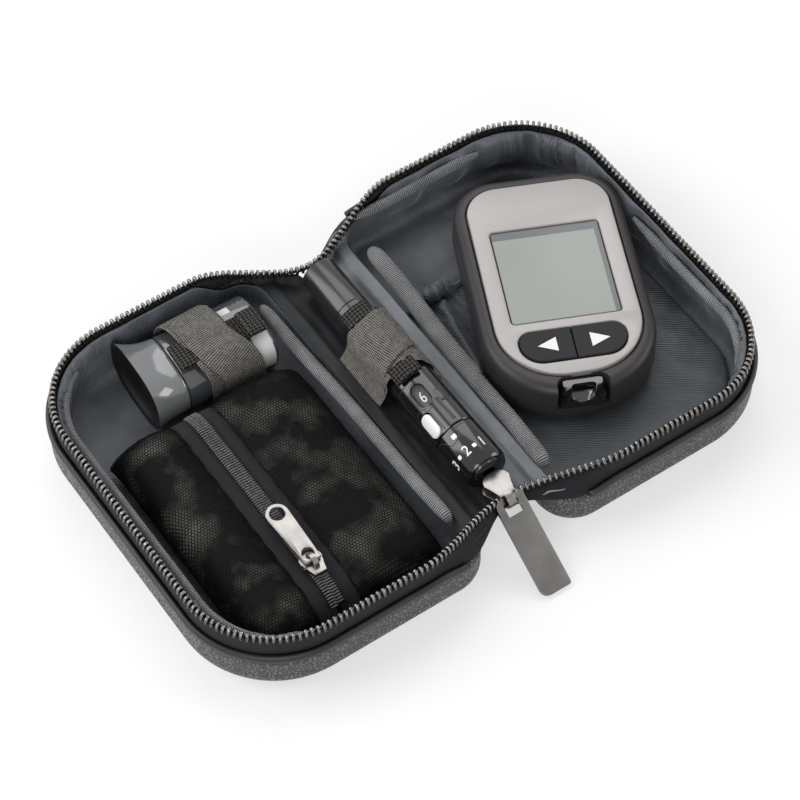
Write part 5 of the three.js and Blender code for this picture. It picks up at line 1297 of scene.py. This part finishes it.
def signed(values, power):
    """A power of the size that keeps the sign."""
    return np.sign(values) * np.abs(values) ** power


def flat_band(line, ups, width, thick):
    """Rings of a flat section with round edges along a line."""
    turn = np.linspace(0, 2 * math.pi, 32, endpoint=False)
    across = signed(np.cos(turn), 0.25) * down_line(width, line) / 2
    return swept(line, ups, across, signed(np.sin(turn), 0.9) * down_line(thick, line) / 2)

# %% [markdown]
# ## Test strip vial
# An oval tub of glossy grey plastic with a flip lid. The lid's mouth flares into a sharp flange
# that a thumb can push, and its end is dished. A bare label patch wraps the tub beyond the strap.

# %% Vial
VIAL_HALF_WIDTH, VIAL_HALF_THICK, VIAL_HALF_LENGTH, LID_LENGTH = 11.4, 7.8, 19.8, 11.0
DISH, DISH_DEPTH, END_ROUND = 3.2, 3.0, 1.6


def oval(x, half_width, half_height, rise=0.0, power=2.7, first=0.0, last=360.0, points=88):
    turn = np.radians(np.linspace(first, last, points, endpoint=last - first < 360))
    return np.stack([
        np.full(points, float(x)), half_width * signed(np.cos(turn), 2 / power),
        half_height * signed(np.sin(turn), 2 / power) + rise,
    ], 1)


def tub_oval(x, inset, **part):
    return oval(x, VIAL_HALF_WIDTH - inset, VIAL_HALF_THICK - inset, **part)


stations = [(-8.5, 1.4), (-8.5, 0.25), (-8.25, 0), (0, 0), (12, 0)]
stations += [(VIAL_HALF_LENGTH - back, inset) for back, inset in round_steps(END_ROUND, 6)]
tub = skin("vial_tub", vial_lay([tub_oval(*station) for station in stations]), vial_plastic)
settle(crisp(tub), "left_tray", "vial_body", slot="vial_plastic")

rings = [
    oval(-VIAL_HALF_LENGTH + DISH_DEPTH * (1 - share ** 5), 12.7 * share, 8.9 * share, 2 * share)
    for share in (0.05, 0.35, 0.6, 0.8, 0.92, 0.98)
]
rings += [oval(-VIAL_HALF_LENGTH, 13.2, 9.3, 2), oval(-VIAL_HALF_LENGTH + 0.12, 13.6, 9.7, 2)]
for s in np.linspace(0.03, 1, 16):
    opened = (1 - s) ** 2
    rings.append(oval(
        -VIAL_HALF_LENGTH + (LID_LENGTH - 0.25) * s, VIAL_HALF_WIDTH + 2.3 * opened,
        VIAL_HALF_THICK + 2 * opened, 2 * opened,
    ))
rings += [tub_oval(*station) for station in ((-8.8, 0.25), (-8.8, 1.9), (-6.4, 1.9))]
lid = skin("vial_flared_lid", vial_lay(rings), lid_plastic)
# The dish's outward faces take the near-black slit material: painted shade in the dished end.
lid.data.materials.append(slit_black.material)
dish_x = (vial_lay.at[0] - VIAL_HALF_LENGTH + DISH) * MM
for face in lid.data.polygons:
    if face.normal.x < -0.3 and all(lid.data.vertices[v].co.x < dish_x for v in face.vertices):
        face.material_index = 1
settle(crisp(lid, 55), "vial_lid", "vial_lid", slot="vial_plastic")

for name, x0, x1, first, last in (
    ("vial_bare_label", 13.4, 18.4, 98, 186), ("vial_bare_square", 9.6, 13.2, 60, 74),
):
    part = {"first": first, "last": last, "points": 60}
    rings = [
        np.vstack([tub_oval(x, -0.06, **part), tub_oval(x, 0.2, **part)[::-1]])
        for x in np.linspace(x0, x1, 12)
    ]
    settle(crisp(skin(name, vial_lay(rings), label_paper)), "left_tray", slot="strip_paper")

# %% [markdown]
# ## Vial strap
# A wide band of coarse knitted elastic goes over the vial. It is doubled over itself a little
# askew, so two layers with slanted edges show. A stiff webbing tab with rolled ends lies under it.

# %% Vial strap and tab
STRAP_X, STRAP_HALF_WIDTH, STRAP_HALF_THICK, STRAP_DROPS = 3.4, 12.15, 10.15, (2.5, 5, 7.8)


def over_vial(first, grow, shift_first, shift_last):
    """A line over the vial and down its far side, and the strap's outward directions."""
    arc = oval(
        STRAP_X, STRAP_HALF_WIDTH + grow, STRAP_HALF_THICK + grow, power=3.4, first=first,
        last=180, points=70,
    )
    feet = [[arc[end] * (1, 1, 0) - (0, 0, drop) for drop in STRAP_DROPS] for end in (0, -1)]
    arc = np.vstack([feet[0][::-1], arc, feet[1]] if first == 0 else [arc, feet[1]])
    arc[:, 0] += shift_first + (shift_last - shift_first) * smooth(np.linspace(0, 1, len(arc)))
    ups = arc * (0, 1 / STRAP_HALF_WIDTH ** 2, 1 / STRAP_HALF_THICK ** 2)
    low = arc[:, 2] < 1
    ups[low] = np.sign(ups[low]) * (0, 1, 0)
    return vial_lay(arc), unit(ups) @ vial_lay.spin.T


def tab_rings(x0, x1, width, fold, lift):
    """A webbing tab along x, doubled over at both ends."""
    share = np.linspace(0, 1, 60)
    end = np.minimum(share, 1 - share) * (x1 - x0)
    doubled = 1 - smooth((end - fold) / 0.9)
    rounded = np.sqrt(np.clip(1 - (1 - np.clip(end / 1.1, 0, 1)) ** 2, 0.02, 1))
    line = np.column_stack([
        x0 + (x1 - x0) * share, 0 * share, lift + 0.62 * doubled - 0.25 * (1 - rounded),
    ])
    return flat_band(line, (0, 0, 1), width + 0.35 * doubled, (0.9 + 1.35 * doubled) * rounded)


line, ups = over_vial(0, -0.1, -3.6, 1.5)
under = skin("vial_strap_lower", flat_band(line, ups, 14.4, 0.85), elastic)
settle(under, "left_tray", "vial_strap", slot="elastic")
line, ups = over_vial(62, 0.75, -1.6, 4.4)
thick = 0.75 * smooth(np.linspace(0.12, 2, len(line)))
upper = skin("vial_strap_upper", flat_band(line, ups, 12.6, thick), elastic)
settle(upper, "left_tray", slot="elastic")
rings = vial_lay(tab_rings(-8.45, 18.8, 8.6, 5.2, 8.6) + (0, -2.6, 0))
settle(skin("vial_webbing_tab", rings, webbing), "left_tray", "vial_tab", slot="webbing")
paint("test_strips", strip_film)

# %% [markdown]
# ## Lancing pen
# The barrel, the dial cap and the plunger are turned shapes. The barrel is cut for the window and
# the white button. Everything on the pen's skin is a patch: a small outline wrapped on the
# cylinder at a roll angle, measured from straight up towards the left tray.

# %% Pen tools
PEN_RADIUS, TURNED_SIDES, TURNED_SHARP, PATCH_SHARP = 6.45, 80, 32, 50


def around_pen(roll, y, radius):
    """Points on the pen from roll angles in degrees, places along it, and radii."""
    roll = np.radians(roll)
    return np.stack([-radius * np.sin(roll), y + 0 * roll, radius * np.cos(roll)], -1)


def turned(name, profile, finish):
    rolls = np.linspace(0, 360, TURNED_SIDES, endpoint=False)
    rings = [pen_lay(around_pen(rolls, y, r)) for y, r in profile]
    return crisp(skin(name, rings, finish), TURNED_SHARP)


def soft_outline(width, length, corner, steps=5):
    return rounded_plan(-width / 2, width / 2, -length / 2, length / 2, [corner] * 4, 0, steps)


def pen_patch(name, roll, y, outline, low, high, finish, edge=0.12):
    """A raised or sunk patch on the pen, from an outline in millimetres."""
    reach = np.abs(outline).max(0)
    shares = [1 - shrink / reach for shrink in (0, 0, edge * 0.3, edge)] + [0.5, 0.08]
    rings = []
    for share, radius in zip(shares, (low, high - edge, high - edge * 0.3, high, high, high)):
        spots = outline * share
        rolls = roll + np.degrees(spots[:, 0] / PEN_RADIUS)
        rings.append(pen_lay(around_pen(rolls, y + spots[:, 1], radius)))
    return crisp(skin(name, rings, finish), PATCH_SHARP)


def cut_from(thing, *cutters):
    """Cuts closed meshes from the thing and removes them."""
    for cutter in cutters:
        carve = thing.modifiers.new("cut", "BOOLEAN")
        carve.object, carve.operation, carve.solver = cutter, "DIFFERENCE", "EXACT"
    apply_modifiers(thing)
    for cutter in cutters:
        bpy.data.objects.remove(cutter)
    return crisp(thing, TURNED_SHARP)


def drawn(name, curve):
    """The points and the faces that a curve or a text draws."""
    holder = stand(name, curve)
    bpy.context.view_layer.update()
    mesh = bpy.data.meshes.new_from_object(holder)
    bpy.data.objects.remove(holder)
    return np.array([v.co for v in mesh.vertices]), [tuple(f.vertices) for f in mesh.polygons]


def pen_numeral(name, text, size, roll, y, radius):
    """A plain numeral, its top towards the pen's plunger, wrapped on the pen."""
    curve = bpy.data.curves.new(name, "FONT")
    curve.body, curve.size = text, size
    curve.align_x, curve.align_y = "CENTER", "CENTER"
    curve.extrude, curve.offset = 0.06, size * 0.006
    spots, faces = drawn(name, curve)
    spots[:, :2] -= (spots.max(0) + spots.min(0))[:2] / 2
    rolls = roll - np.degrees(spots[:, 0] * 0.88 / PEN_RADIUS)
    wrapped = pen_lay(around_pen(rolls, y + spots[:, 1], radius + spots[:, 2]))
    return turn_outwards(make_mesh(name, wrapped, faces, white_enamel, shade=False))

# %% [markdown]
# ## The pen's mouldings
# A turned shape is a list of places along the pen and radii. The barrel is cut for what it
# holds, and the pane, the rim, the button and the lever are patches laid in or on it.

# %% Pen body
WINDOW_ON_PEN, BUTTON_ON_PEN, LEVER_ON_PEN = (27, -11.9), (60, -20.4), (-16, -14.8)
barrel = turned("pen_barrel_moulded", [
    (20.6, 5.9), (20.55, 6.2), (20.3, PEN_RADIUS), (-24.55, PEN_RADIUS), (-24.8, 6.25),
    (-24.8, 4.9), (-33.3, 4.9),
], pen_plastic)
cut_from(
    barrel, turned("bore", [(10, 5.75), (30, 5.75)], pen_plastic),
    turned("bore", [(-16.2, 5.25), (-1.2, 5.25)], pen_plastic),
    pen_patch("hole", *WINDOW_ON_PEN, soft_outline(4.7, 7.9, 2.2), 3.6, 9, pen_plastic),
    pen_patch("hole", *BUTTON_ON_PEN, soft_outline(5.2, 8.1, 2.0), 3.0, 9, pen_plastic),
)
settle(barrel, "spine", "pen_barrel", slot="pen_plastic")

for name, body, node, finish, profile in (
    ("pen_plunger_sleeve", "pen_plunger", "pen_plunger", pen_rear, [
        (14.6, 5.5), (25.3, 5.5), (25.5, 5.3), (25.7, 5.5), (41.9, 5.5), (42.3, 5.35),
        (42.6, 4.9), (42.55, 4.2), (42.3, 3.9), (42.3, 0.3),
    ]),
    ("pen_cap_moulded", "pen_dial", "pen_dial_cap", pen_plastic, [
        (-33.8, 1.9), (-33.8, 5.2), (-25.1, 5.2), (-25.1, 6.2), (-25.35, PEN_RADIUS),
        (-37.9, PEN_RADIUS), (-38.5, 6.1), (-38.9, 5.85), (-38.9, 5.1), (-39.1, 4.9),
        (-39.45, 4.85), (-39.5, 4.7), (-39.5, 2.1), (-39.3, 1.9), (-34.0, 1.85),
    ]),
    ("pen_depth_drum", "pen_drum", "pen_drum", slit_black, [
        (-15.4, 4.2), (-14.8, 4.8), (-2.6, 4.8), (-2.0, 4.2),
    ]),
):
    settle(turned(name, profile, finish), body, node, slot="pen_plastic")

pane = pen_patch("pen_window_pane", *WINDOW_ON_PEN, soft_outline(4.3, 7.5, 2.0), 5.7, 6.15, clear_pane)
settle(pane, "spine", "pen_window", slot="display_glass")
rim = pen_patch("pen_window_rim", *WINDOW_ON_PEN, soft_outline(5.5, 8.8, 2.6), 5.6, 6.52, pen_plastic)
hole = pen_patch("hole", *WINDOW_ON_PEN, soft_outline(4.5, 7.7, 2.1), 3, 9, pen_plastic)
settle(cut_from(rim, hole), "spine", slot="pen_plastic")
button = pen_patch(
    "pen_white_button", *BUTTON_ON_PEN, soft_outline(4.2, 7.5, 1.8), 4.9, 6.6, white_enamel, 0.3,
)
settle(button, "pen_button", "pen_release_button", slot="white_plastic")
lever = pen_patch(
    "pen_side_lever", *LEVER_ON_PEN, soft_outline(2.8, 4.4, 0.7), 5.4, 6.75, pen_rear, 0.25,
)
settle(lever, "pen_lever", "pen_lever", slot="pen_plastic")
print("pen body made")

# %% [markdown]
# ## Marks on the pen
# Plain numerals and small squares run round the dial cap, and one numeral shows in the window.
# Thin dark slits mark where the mouldings meet. On the cap, a parting line with one square step
# is drawn the same way.

# %% Pen marks
NUMERAL_Y, NUMERAL_COUNT = -33.4, 9


def slit(name, width, body, spots):
    """A thin dark inlay that follows places (roll, y) on the pen."""
    flat = np.array(spots, float)
    flat[:, 0] = np.radians(flat[:, 0]) * PEN_RADIUS
    travel = travelled(flat)
    flat = at_places(flat, travel, np.linspace(0, travel[-1], max(int(travel[-1] / 0.35), 4)))
    rolls = np.degrees(flat[:, 0] / PEN_RADIUS)
    line = pen_lay(around_pen(rolls, flat[:, 1], PEN_RADIUS))
    mark = skin(name, tube(line, width / 2, 0.03, around_pen(rolls, 0, 1.0), 8), slit_black)
    settle(mark, body, slot="pen_plastic")


slit("pen_slit_panel", 0.3, "spine", [(44, -6.6), (78, -6.6), (84, -9), (86, -24.4)])
slit("pen_slit_step", 0.28, "spine", [(14, -16.9), (40, -16.9), (47, -15.2), (80, -15.2)])
slit("pen_slit_lever", 0.9, "spine", [(3, -15.2), (0, -23.6)])
slit("pen_slit_side", 0.25, "spine", [(34, -17.2), (34, -24.4)])
slit("pen_slit_guard", 0.3, "spine", [(-30, -8.4), (-34, -24.4)])
slit("cap_parting", 0.3, "pen_dial", [
    (96, -25.9), (72, -25.9), (62, -27.2), (50, -29.4), (44, -29.6), (36, -29.5), (20, -29.0),
    (14, -27.5), (14, -26.0), (-30, -25.9),
])
for name, roll, y, size in (
    ("cap_square_tab", 30.5, -27.9, 1.5), ("cap_square_left", 53.8, -33.4, 1.2),
    ("cap_square_right", 6.2, -33.6, 1.2),
):
    outline = soft_outline(size, size, 0.08, 2)
    square = pen_patch(name, roll, y, outline, 6.2, PEN_RADIUS + 0.04, white_enamel, 0.03)
    settle(square, "pen_dial", slot="white_plastic")
for text, roll in (("3", 79), ("2", 29.5), ("1", -16)):
    figure = pen_numeral(f"cap_numeral_{text}", text, 4.4, roll, NUMERAL_Y, PEN_RADIUS + 0.01)
    settle(figure, "pen_dial", slot="white_plastic")
for step in range(NUMERAL_COUNT):
    text, roll = str((5 + step) % NUMERAL_COUNT + 1), WINDOW_ON_PEN[0] - 360 / NUMERAL_COUNT * step
    figure = pen_numeral(f"drum_numeral_{text}", text, 5.0, roll, WINDOW_ON_PEN[1], 4.95)
    settle(figure, "pen_drum", slot="white_plastic")

# %% [markdown]
# ## Pen strap
# The pen's elastic goes over it from one edge of the spine to the other, in two layers that
# cross. The webbing tab under it shows at both ends, doubled over into a thick roll.

# %% Pen strap and tab
PEN_FEET = np.array([(-8.0, 0, -2.6), (-9.1, 0, -4.3), (-9.9, 0, -4.95)])
PEN_FEET_UPS = np.array([(-1, 0, 0.2), (-0.5, 0, 0.8), (-0.2, 0, 1)])
MIRROR, STRAP_RADIUS, TAB_ROLL, TAB_Y = (-1, 1, 1), 7.2, 18, 8.2


def over_pen(first, last, grow, y_first, y_last):
    """A line over the pen and down its left side, and the strap's outward directions."""
    angle = np.linspace(first, last, 90)
    raised = 1 - smooth((np.abs(angle - 108) - 36) / 32)
    radius = STRAP_RADIUS + 1.2 * raised + grow * (1 - 0.3 * smooth((angle - 140) / 30))
    line = np.vstack([around_pen(angle - 90, 0, radius), PEN_FEET])
    ups = np.vstack([around_pen(angle - 90, 0, 1.0), PEN_FEET_UPS])
    if first == 0:
        line = np.vstack([PEN_FEET[::-1] * MIRROR, line])
        ups = np.vstack([PEN_FEET_UPS[::-1] * MIRROR, ups])
    line[:, 1] = y_first + (y_last - y_first) * smooth(np.linspace(0, 1, len(line)))
    return pen_lay(line), ups


line, ups = over_pen(0, 180, 0, 6.0, 7.4)
lower = skin("pen_strap_lower", flat_band(line, ups, 19.5, 0.85), elastic)
settle(lower, "spine", "pen_strap", slot="elastic")
line, ups = over_pen(52, 186, 0.8, 9.5, 5.8)
thick = 0.75 * smooth(np.linspace(0.12, 2, len(line))) * np.linspace(1.25, 0.55, len(line))
upper = skin("pen_strap_upper", flat_band(line, ups, 15.5, thick), elastic)
settle(upper, "spine", slot="elastic")
x, y, z = np.moveaxis(tab_rings(-14, 14, 7.4, 5.0, STRAP_RADIUS), -1, 0)
bent = around_pen(TAB_ROLL + np.degrees(y / STRAP_RADIUS), x + TAB_Y, z)
settle(skin("pen_webbing_tab", pen_lay(bent), webbing), "spine", "pen_tab", slot="webbing")

# %% [markdown]
# ## Slip pocket
# The panel is a flat sheet on the lining, sewn in round three sides. Its open edge near the far
# wall is drawn up by a gathered elastic hem, and a soft fold runs from the gathers along the meter.

# %% Slip pocket
HEM_Y, HEM_STEPS, PANEL_THICK, PANEL_MIDDLE = 25.0, 70, 0.55, np.array([48.0, -8.0])


def from_gap(ring):
    """The ring again, from the point after its widest gap."""
    gaps = np.linalg.norm(np.roll(ring, -1, 0) - ring, axis=1)
    return np.roll(ring, -(int(np.argmax(gaps)) + 1), 0)


edge = spaced_ring(tray_plan(6.6, 40), 1.1)
edge = from_gap(edge[edge[:, 1] <= HEM_Y])
hem_run = np.linspace(edge[-1, 0], edge[0, 0], HEM_STEPS)
edge = np.vstack([edge, np.column_stack([hem_run, np.full(HEM_STEPS, HEM_Y)])])
rings = []
for share in np.linspace(1, 0.02, 46):
    spots = PANEL_MIDDLE + (edge - PANEL_MIDDLE) * share
    x, y = spots.T
    lift = 3.7 + 0.1 * np.sin(x * 0.7 + y * 0.35) + 0.12 * np.sin(y * 0.42 - x * 0.16)
    fold = 2.3 * np.exp(-((x - 23.6 - (y + 2) * 0.17) / 2.5) ** 2)
    fold *= smooth((y + 10) / 9) * smooth((24.4 - y) / 3)
    near_hem = np.exp(-(HEM_Y - y) / 5.0) * smooth((38 - x) / 8) * smooth((x - 17.5) / 3)
    pleats = near_hem * (0.9 + 0.55 * np.sin(x * 2.4 + 0.4 * y) + 0.3 * np.sin(x * 4.1 - y))
    rings.append(at_height(spots, lift + fold + pleats))
panel = skin("slip_pocket_panel", rings, panel_cloth, caps=False)
turn_up(panel)
thicken(panel, PANEL_THICK, -1)
settle(panel, "right_tray", "slip_panel", slot="lining_nylon")
min(cloth_area(panel), 0.00512)

x = np.linspace(19.5, 80.5, 230)
plump = 1 - smooth((x - 30) / 5)
radius = 0.7 + 1.45 * plump
radius *= 1 + (0.22 * np.sin(x * 3.1) + 0.12 * np.sin(x * 5.3 + 1)) * plump
height = 3.95 + radius + 0.9 * plump * np.sin((x - 19) / 4.2)
line = np.column_stack([x, HEM_Y + 0.35 * np.sin(x * 0.9), height])
hem = skin("slip_gathered_hem", tube(line, radius, radius, points=20), panel_cloth)
settle(hem, "right_tray", "slip_hem", slot="lining_nylon")

# %% [markdown]
# ## Meter body
# A soft-edged tub of dark plastic. Its corners are wide at the foot and tighter at the top. The
# seat for the face, the track of the battery door and the strip port are cut into it.

# %% Meter body
METER_RADII, FACE_RADII = (22, 13, 13, 22), (18, 9.5, 9.5, 18)
METER_TOP, METER_RIM, METER_FOOT_ROUND, METER_RIM_ROUND = 15.3, 14.4, 3.4, 3.0


def meter_outline(inset, z):
    x, y = METER_HALF
    return meter_lay(at_height(rounded_plan(-x, x, -y, y, METER_RADII, inset, 16), z))


def face_outline(inset):
    return rounded_plan(-20.6, 20.6, -33.2, 34.4, FACE_RADII, inset, 16)


def hole_of(plan, z0, z1):
    """A cutter in the meter's frame: a plan between two heights."""
    return skin("hole", [meter_lay(at_height(plan, z)) for z in (z0, z1)], meter_plastic)


def port_plan(half_width, y0, y1, corner):
    return rounded_plan(-half_width, half_width, y0, y1, (0.4, corner, corner, 0.4), 0, 6)


rings = [meter_outline(inset, z) for inset, z in round_steps(METER_FOOT_ROUND, 8)]
rings += [meter_outline(inset, METER_RIM - down) for down, inset in round_steps(METER_RIM_ROUND, 9)]
rings += [
    meter_lay(at_height(face_outline(-grow), z))
    for grow, z in ((0.55, METER_RIM + 0.02), (0.3, METER_RIM - 0.2), (0.3, 12.6))
]
tub = skin("meter_tub", rings, meter_plastic)
door_track = hole_of([(-11.3, -32.9), (11.3, -32.9), (11.3, -0.2), (-11.3, -0.2)], -1, 1.4)
cut_from(tub, door_track, hole_of(port_plan(7.3, -44, -33.5, 2.6), 5.9, 14.6))
settle(tub, "meter", "meter_body", slot="meter_plastic")

# %% [markdown]
# ## Meter face
# The face is one satin plate with openings for the window and the button pad. It is drawn as a
# flat curve with two holes, extruded and bevelled, so every edge has the same bright chamfer.

# %% Meter face
WINDOW, WINDOW_Y, PAD, PAD_Y = (30.6, 32.4), 2.0, (29.6, 10.4), -23.2
CHAMFER, FACE_GAP, PLATE_HALF = 0.5, 0.3, 1.2


def window_outline(inset):
    w, h = WINDOW[0] / 2, WINDOW[1] / 2
    return rounded_plan(-w, w, WINDOW_Y - h, WINDOW_Y + h, (0.9,) * 4, inset, 6)


def pad_outline(inset, steps):
    w, h = PAD[0] / 2, PAD[1] / 2
    return rounded_plan(-w, w, PAD_Y - h, PAD_Y + h, (6.2, 3.6, 3.6, 6.2), inset, steps)


def plate_of(name, outline, z0, z1, finish, body, *stands_for, slot, edge=0.15):
    """A flat plate with a softened top edge in the meter's frame."""
    middle = outline.mean(0)
    reach = np.abs(outline - middle).max(0)
    rings = [
        meter_lay(at_height(middle + (outline - middle) * (1 - shrink / reach), z))
        for shrink, z in (
            (0, z0), (0, z1 - edge), (edge * 0.3, z1 - edge * 0.3), (edge, z1), (edge + 0.12, z1),
        )
    ]
    settle(crisp(skin(name, rings, finish), PATCH_SHARP), body, *stands_for, slot=slot)


curve = bpy.data.curves.new("face", "CURVE")
curve.dimensions, curve.fill_mode = "2D", "BOTH"
opening = -FACE_GAP - CHAMFER
for outline in (face_outline(CHAMFER + 0.12), window_outline(opening), pad_outline(opening, 12)):
    spline = curve.splines.new("POLY")
    spline.points.add(len(outline) - 1)
    places = np.column_stack([at_height(outline, 0), np.ones(len(outline))])
    spline.points.foreach_set("co", places.ravel())
    spline.use_cyclic_u = True
curve.extrude, curve.bevel_depth, curve.bevel_resolution = PLATE_HALF - CHAMFER, CHAMFER, 2
spots, faces = drawn("face", curve)
spots = meter_lay(spots + (0, 0, METER_TOP - PLATE_HALF))
plate = make_mesh("meter_face_plate", spots, faces, face_satin)
with edited(plate.data) as made:
    bmesh.ops.remove_doubles(made, verts=made.verts, dist=1e-7)
    bmesh.ops.recalc_face_normals(made, faces=made.faces)
settle(crisp(turn_outwards(plate), 25), "meter", "meter_face", slot="face_satin")

plate_of(
    "meter_display_lens", window_outline(0), 13.5, 14.8, display, "meter", "meter_lens",
    slot="display_glass",
)
# A thin dark L over the lens's top and right edges: painted shadow of the window's walls.
w, h = WINDOW[0] / 2 - 0.15, WINDOW[1] / 2 - 0.15
shape = [
    (-w, WINDOW_Y + h - 2.5), (w - 1.3, WINDOW_Y + h - 2.5), (w - 1.3, WINDOW_Y - h),
    (w, WINDOW_Y - h), (w, WINDOW_Y + h), (-w, WINDOW_Y + h),
]
spots = np.vstack([meter_lay(at_height(shape, z)) for z in (14.5, 14.83)])
faces = [(5, 4, 3, 2, 1, 0), (6, 7, 8, 9, 10, 11)]
faces += [(i, (i + 1) % 6, 6 + (i + 1) % 6, 6 + i) for i in range(6)]
band = make_mesh("meter_window_shade", spots, faces, display_painted_shadow, shade=False)
settle(turn_outwards(band), "meter", slot="display_glass")

# %% [markdown]
# ## Meter buttons and port
# One dark pad holds two buttons, each with a printed arrow. The glossy strip port sits in the
# lower edge, and the battery door, board and coin cell keep their CAD shapes.

# %% Meter buttons and port
BUTTON_GAP = 0.15
for side, sign in SIDES:
    whole = pad_outline(0.0, 14)
    half = from_gap(whole[whole[:, 0] * sign > BUTTON_GAP])
    ends = [(sign * BUTTON_GAP, half[-1, 1]), (sign * BUTTON_GAP, half[0, 1])]
    plate_of(
        f"meter_{side}_button_cap", np.vstack([half, ends]), 9.0, 15.7, button_rubber,
        f"meter_button_{side}", f"meter_button_{side}", slot="button_rubber", edge=0.35,
    )
    arrow = np.array([(sign * 10.1, PAD_Y), (sign * 4.7, PAD_Y + 2.4), (sign * 4.7, PAD_Y - 2.4)])
    plate_of(
        f"meter_{side}_arrow", arrow[::sign], 15.5, 15.76, white_enamel, f"meter_button_{side}",
        slot="white_plastic", edge=0.03,
    )
port = refined("meter_strip_port", "meter_port_moulding", port_gloss, 0.45)
cut_from(port, hole_of(port_plan(3.6, -42, -35.6, 1.4), 8.6, 15))
settle(port, "meter", "meter_strip_port", slot="port_gloss")
for node, finish in (
    ("meter_battery_door", meter_plastic), ("meter_board", board_green), ("meter_display", display),
    ("meter_coin_cell", nickel), ("hook_patch", hooks),
):
    paint(node, finish)
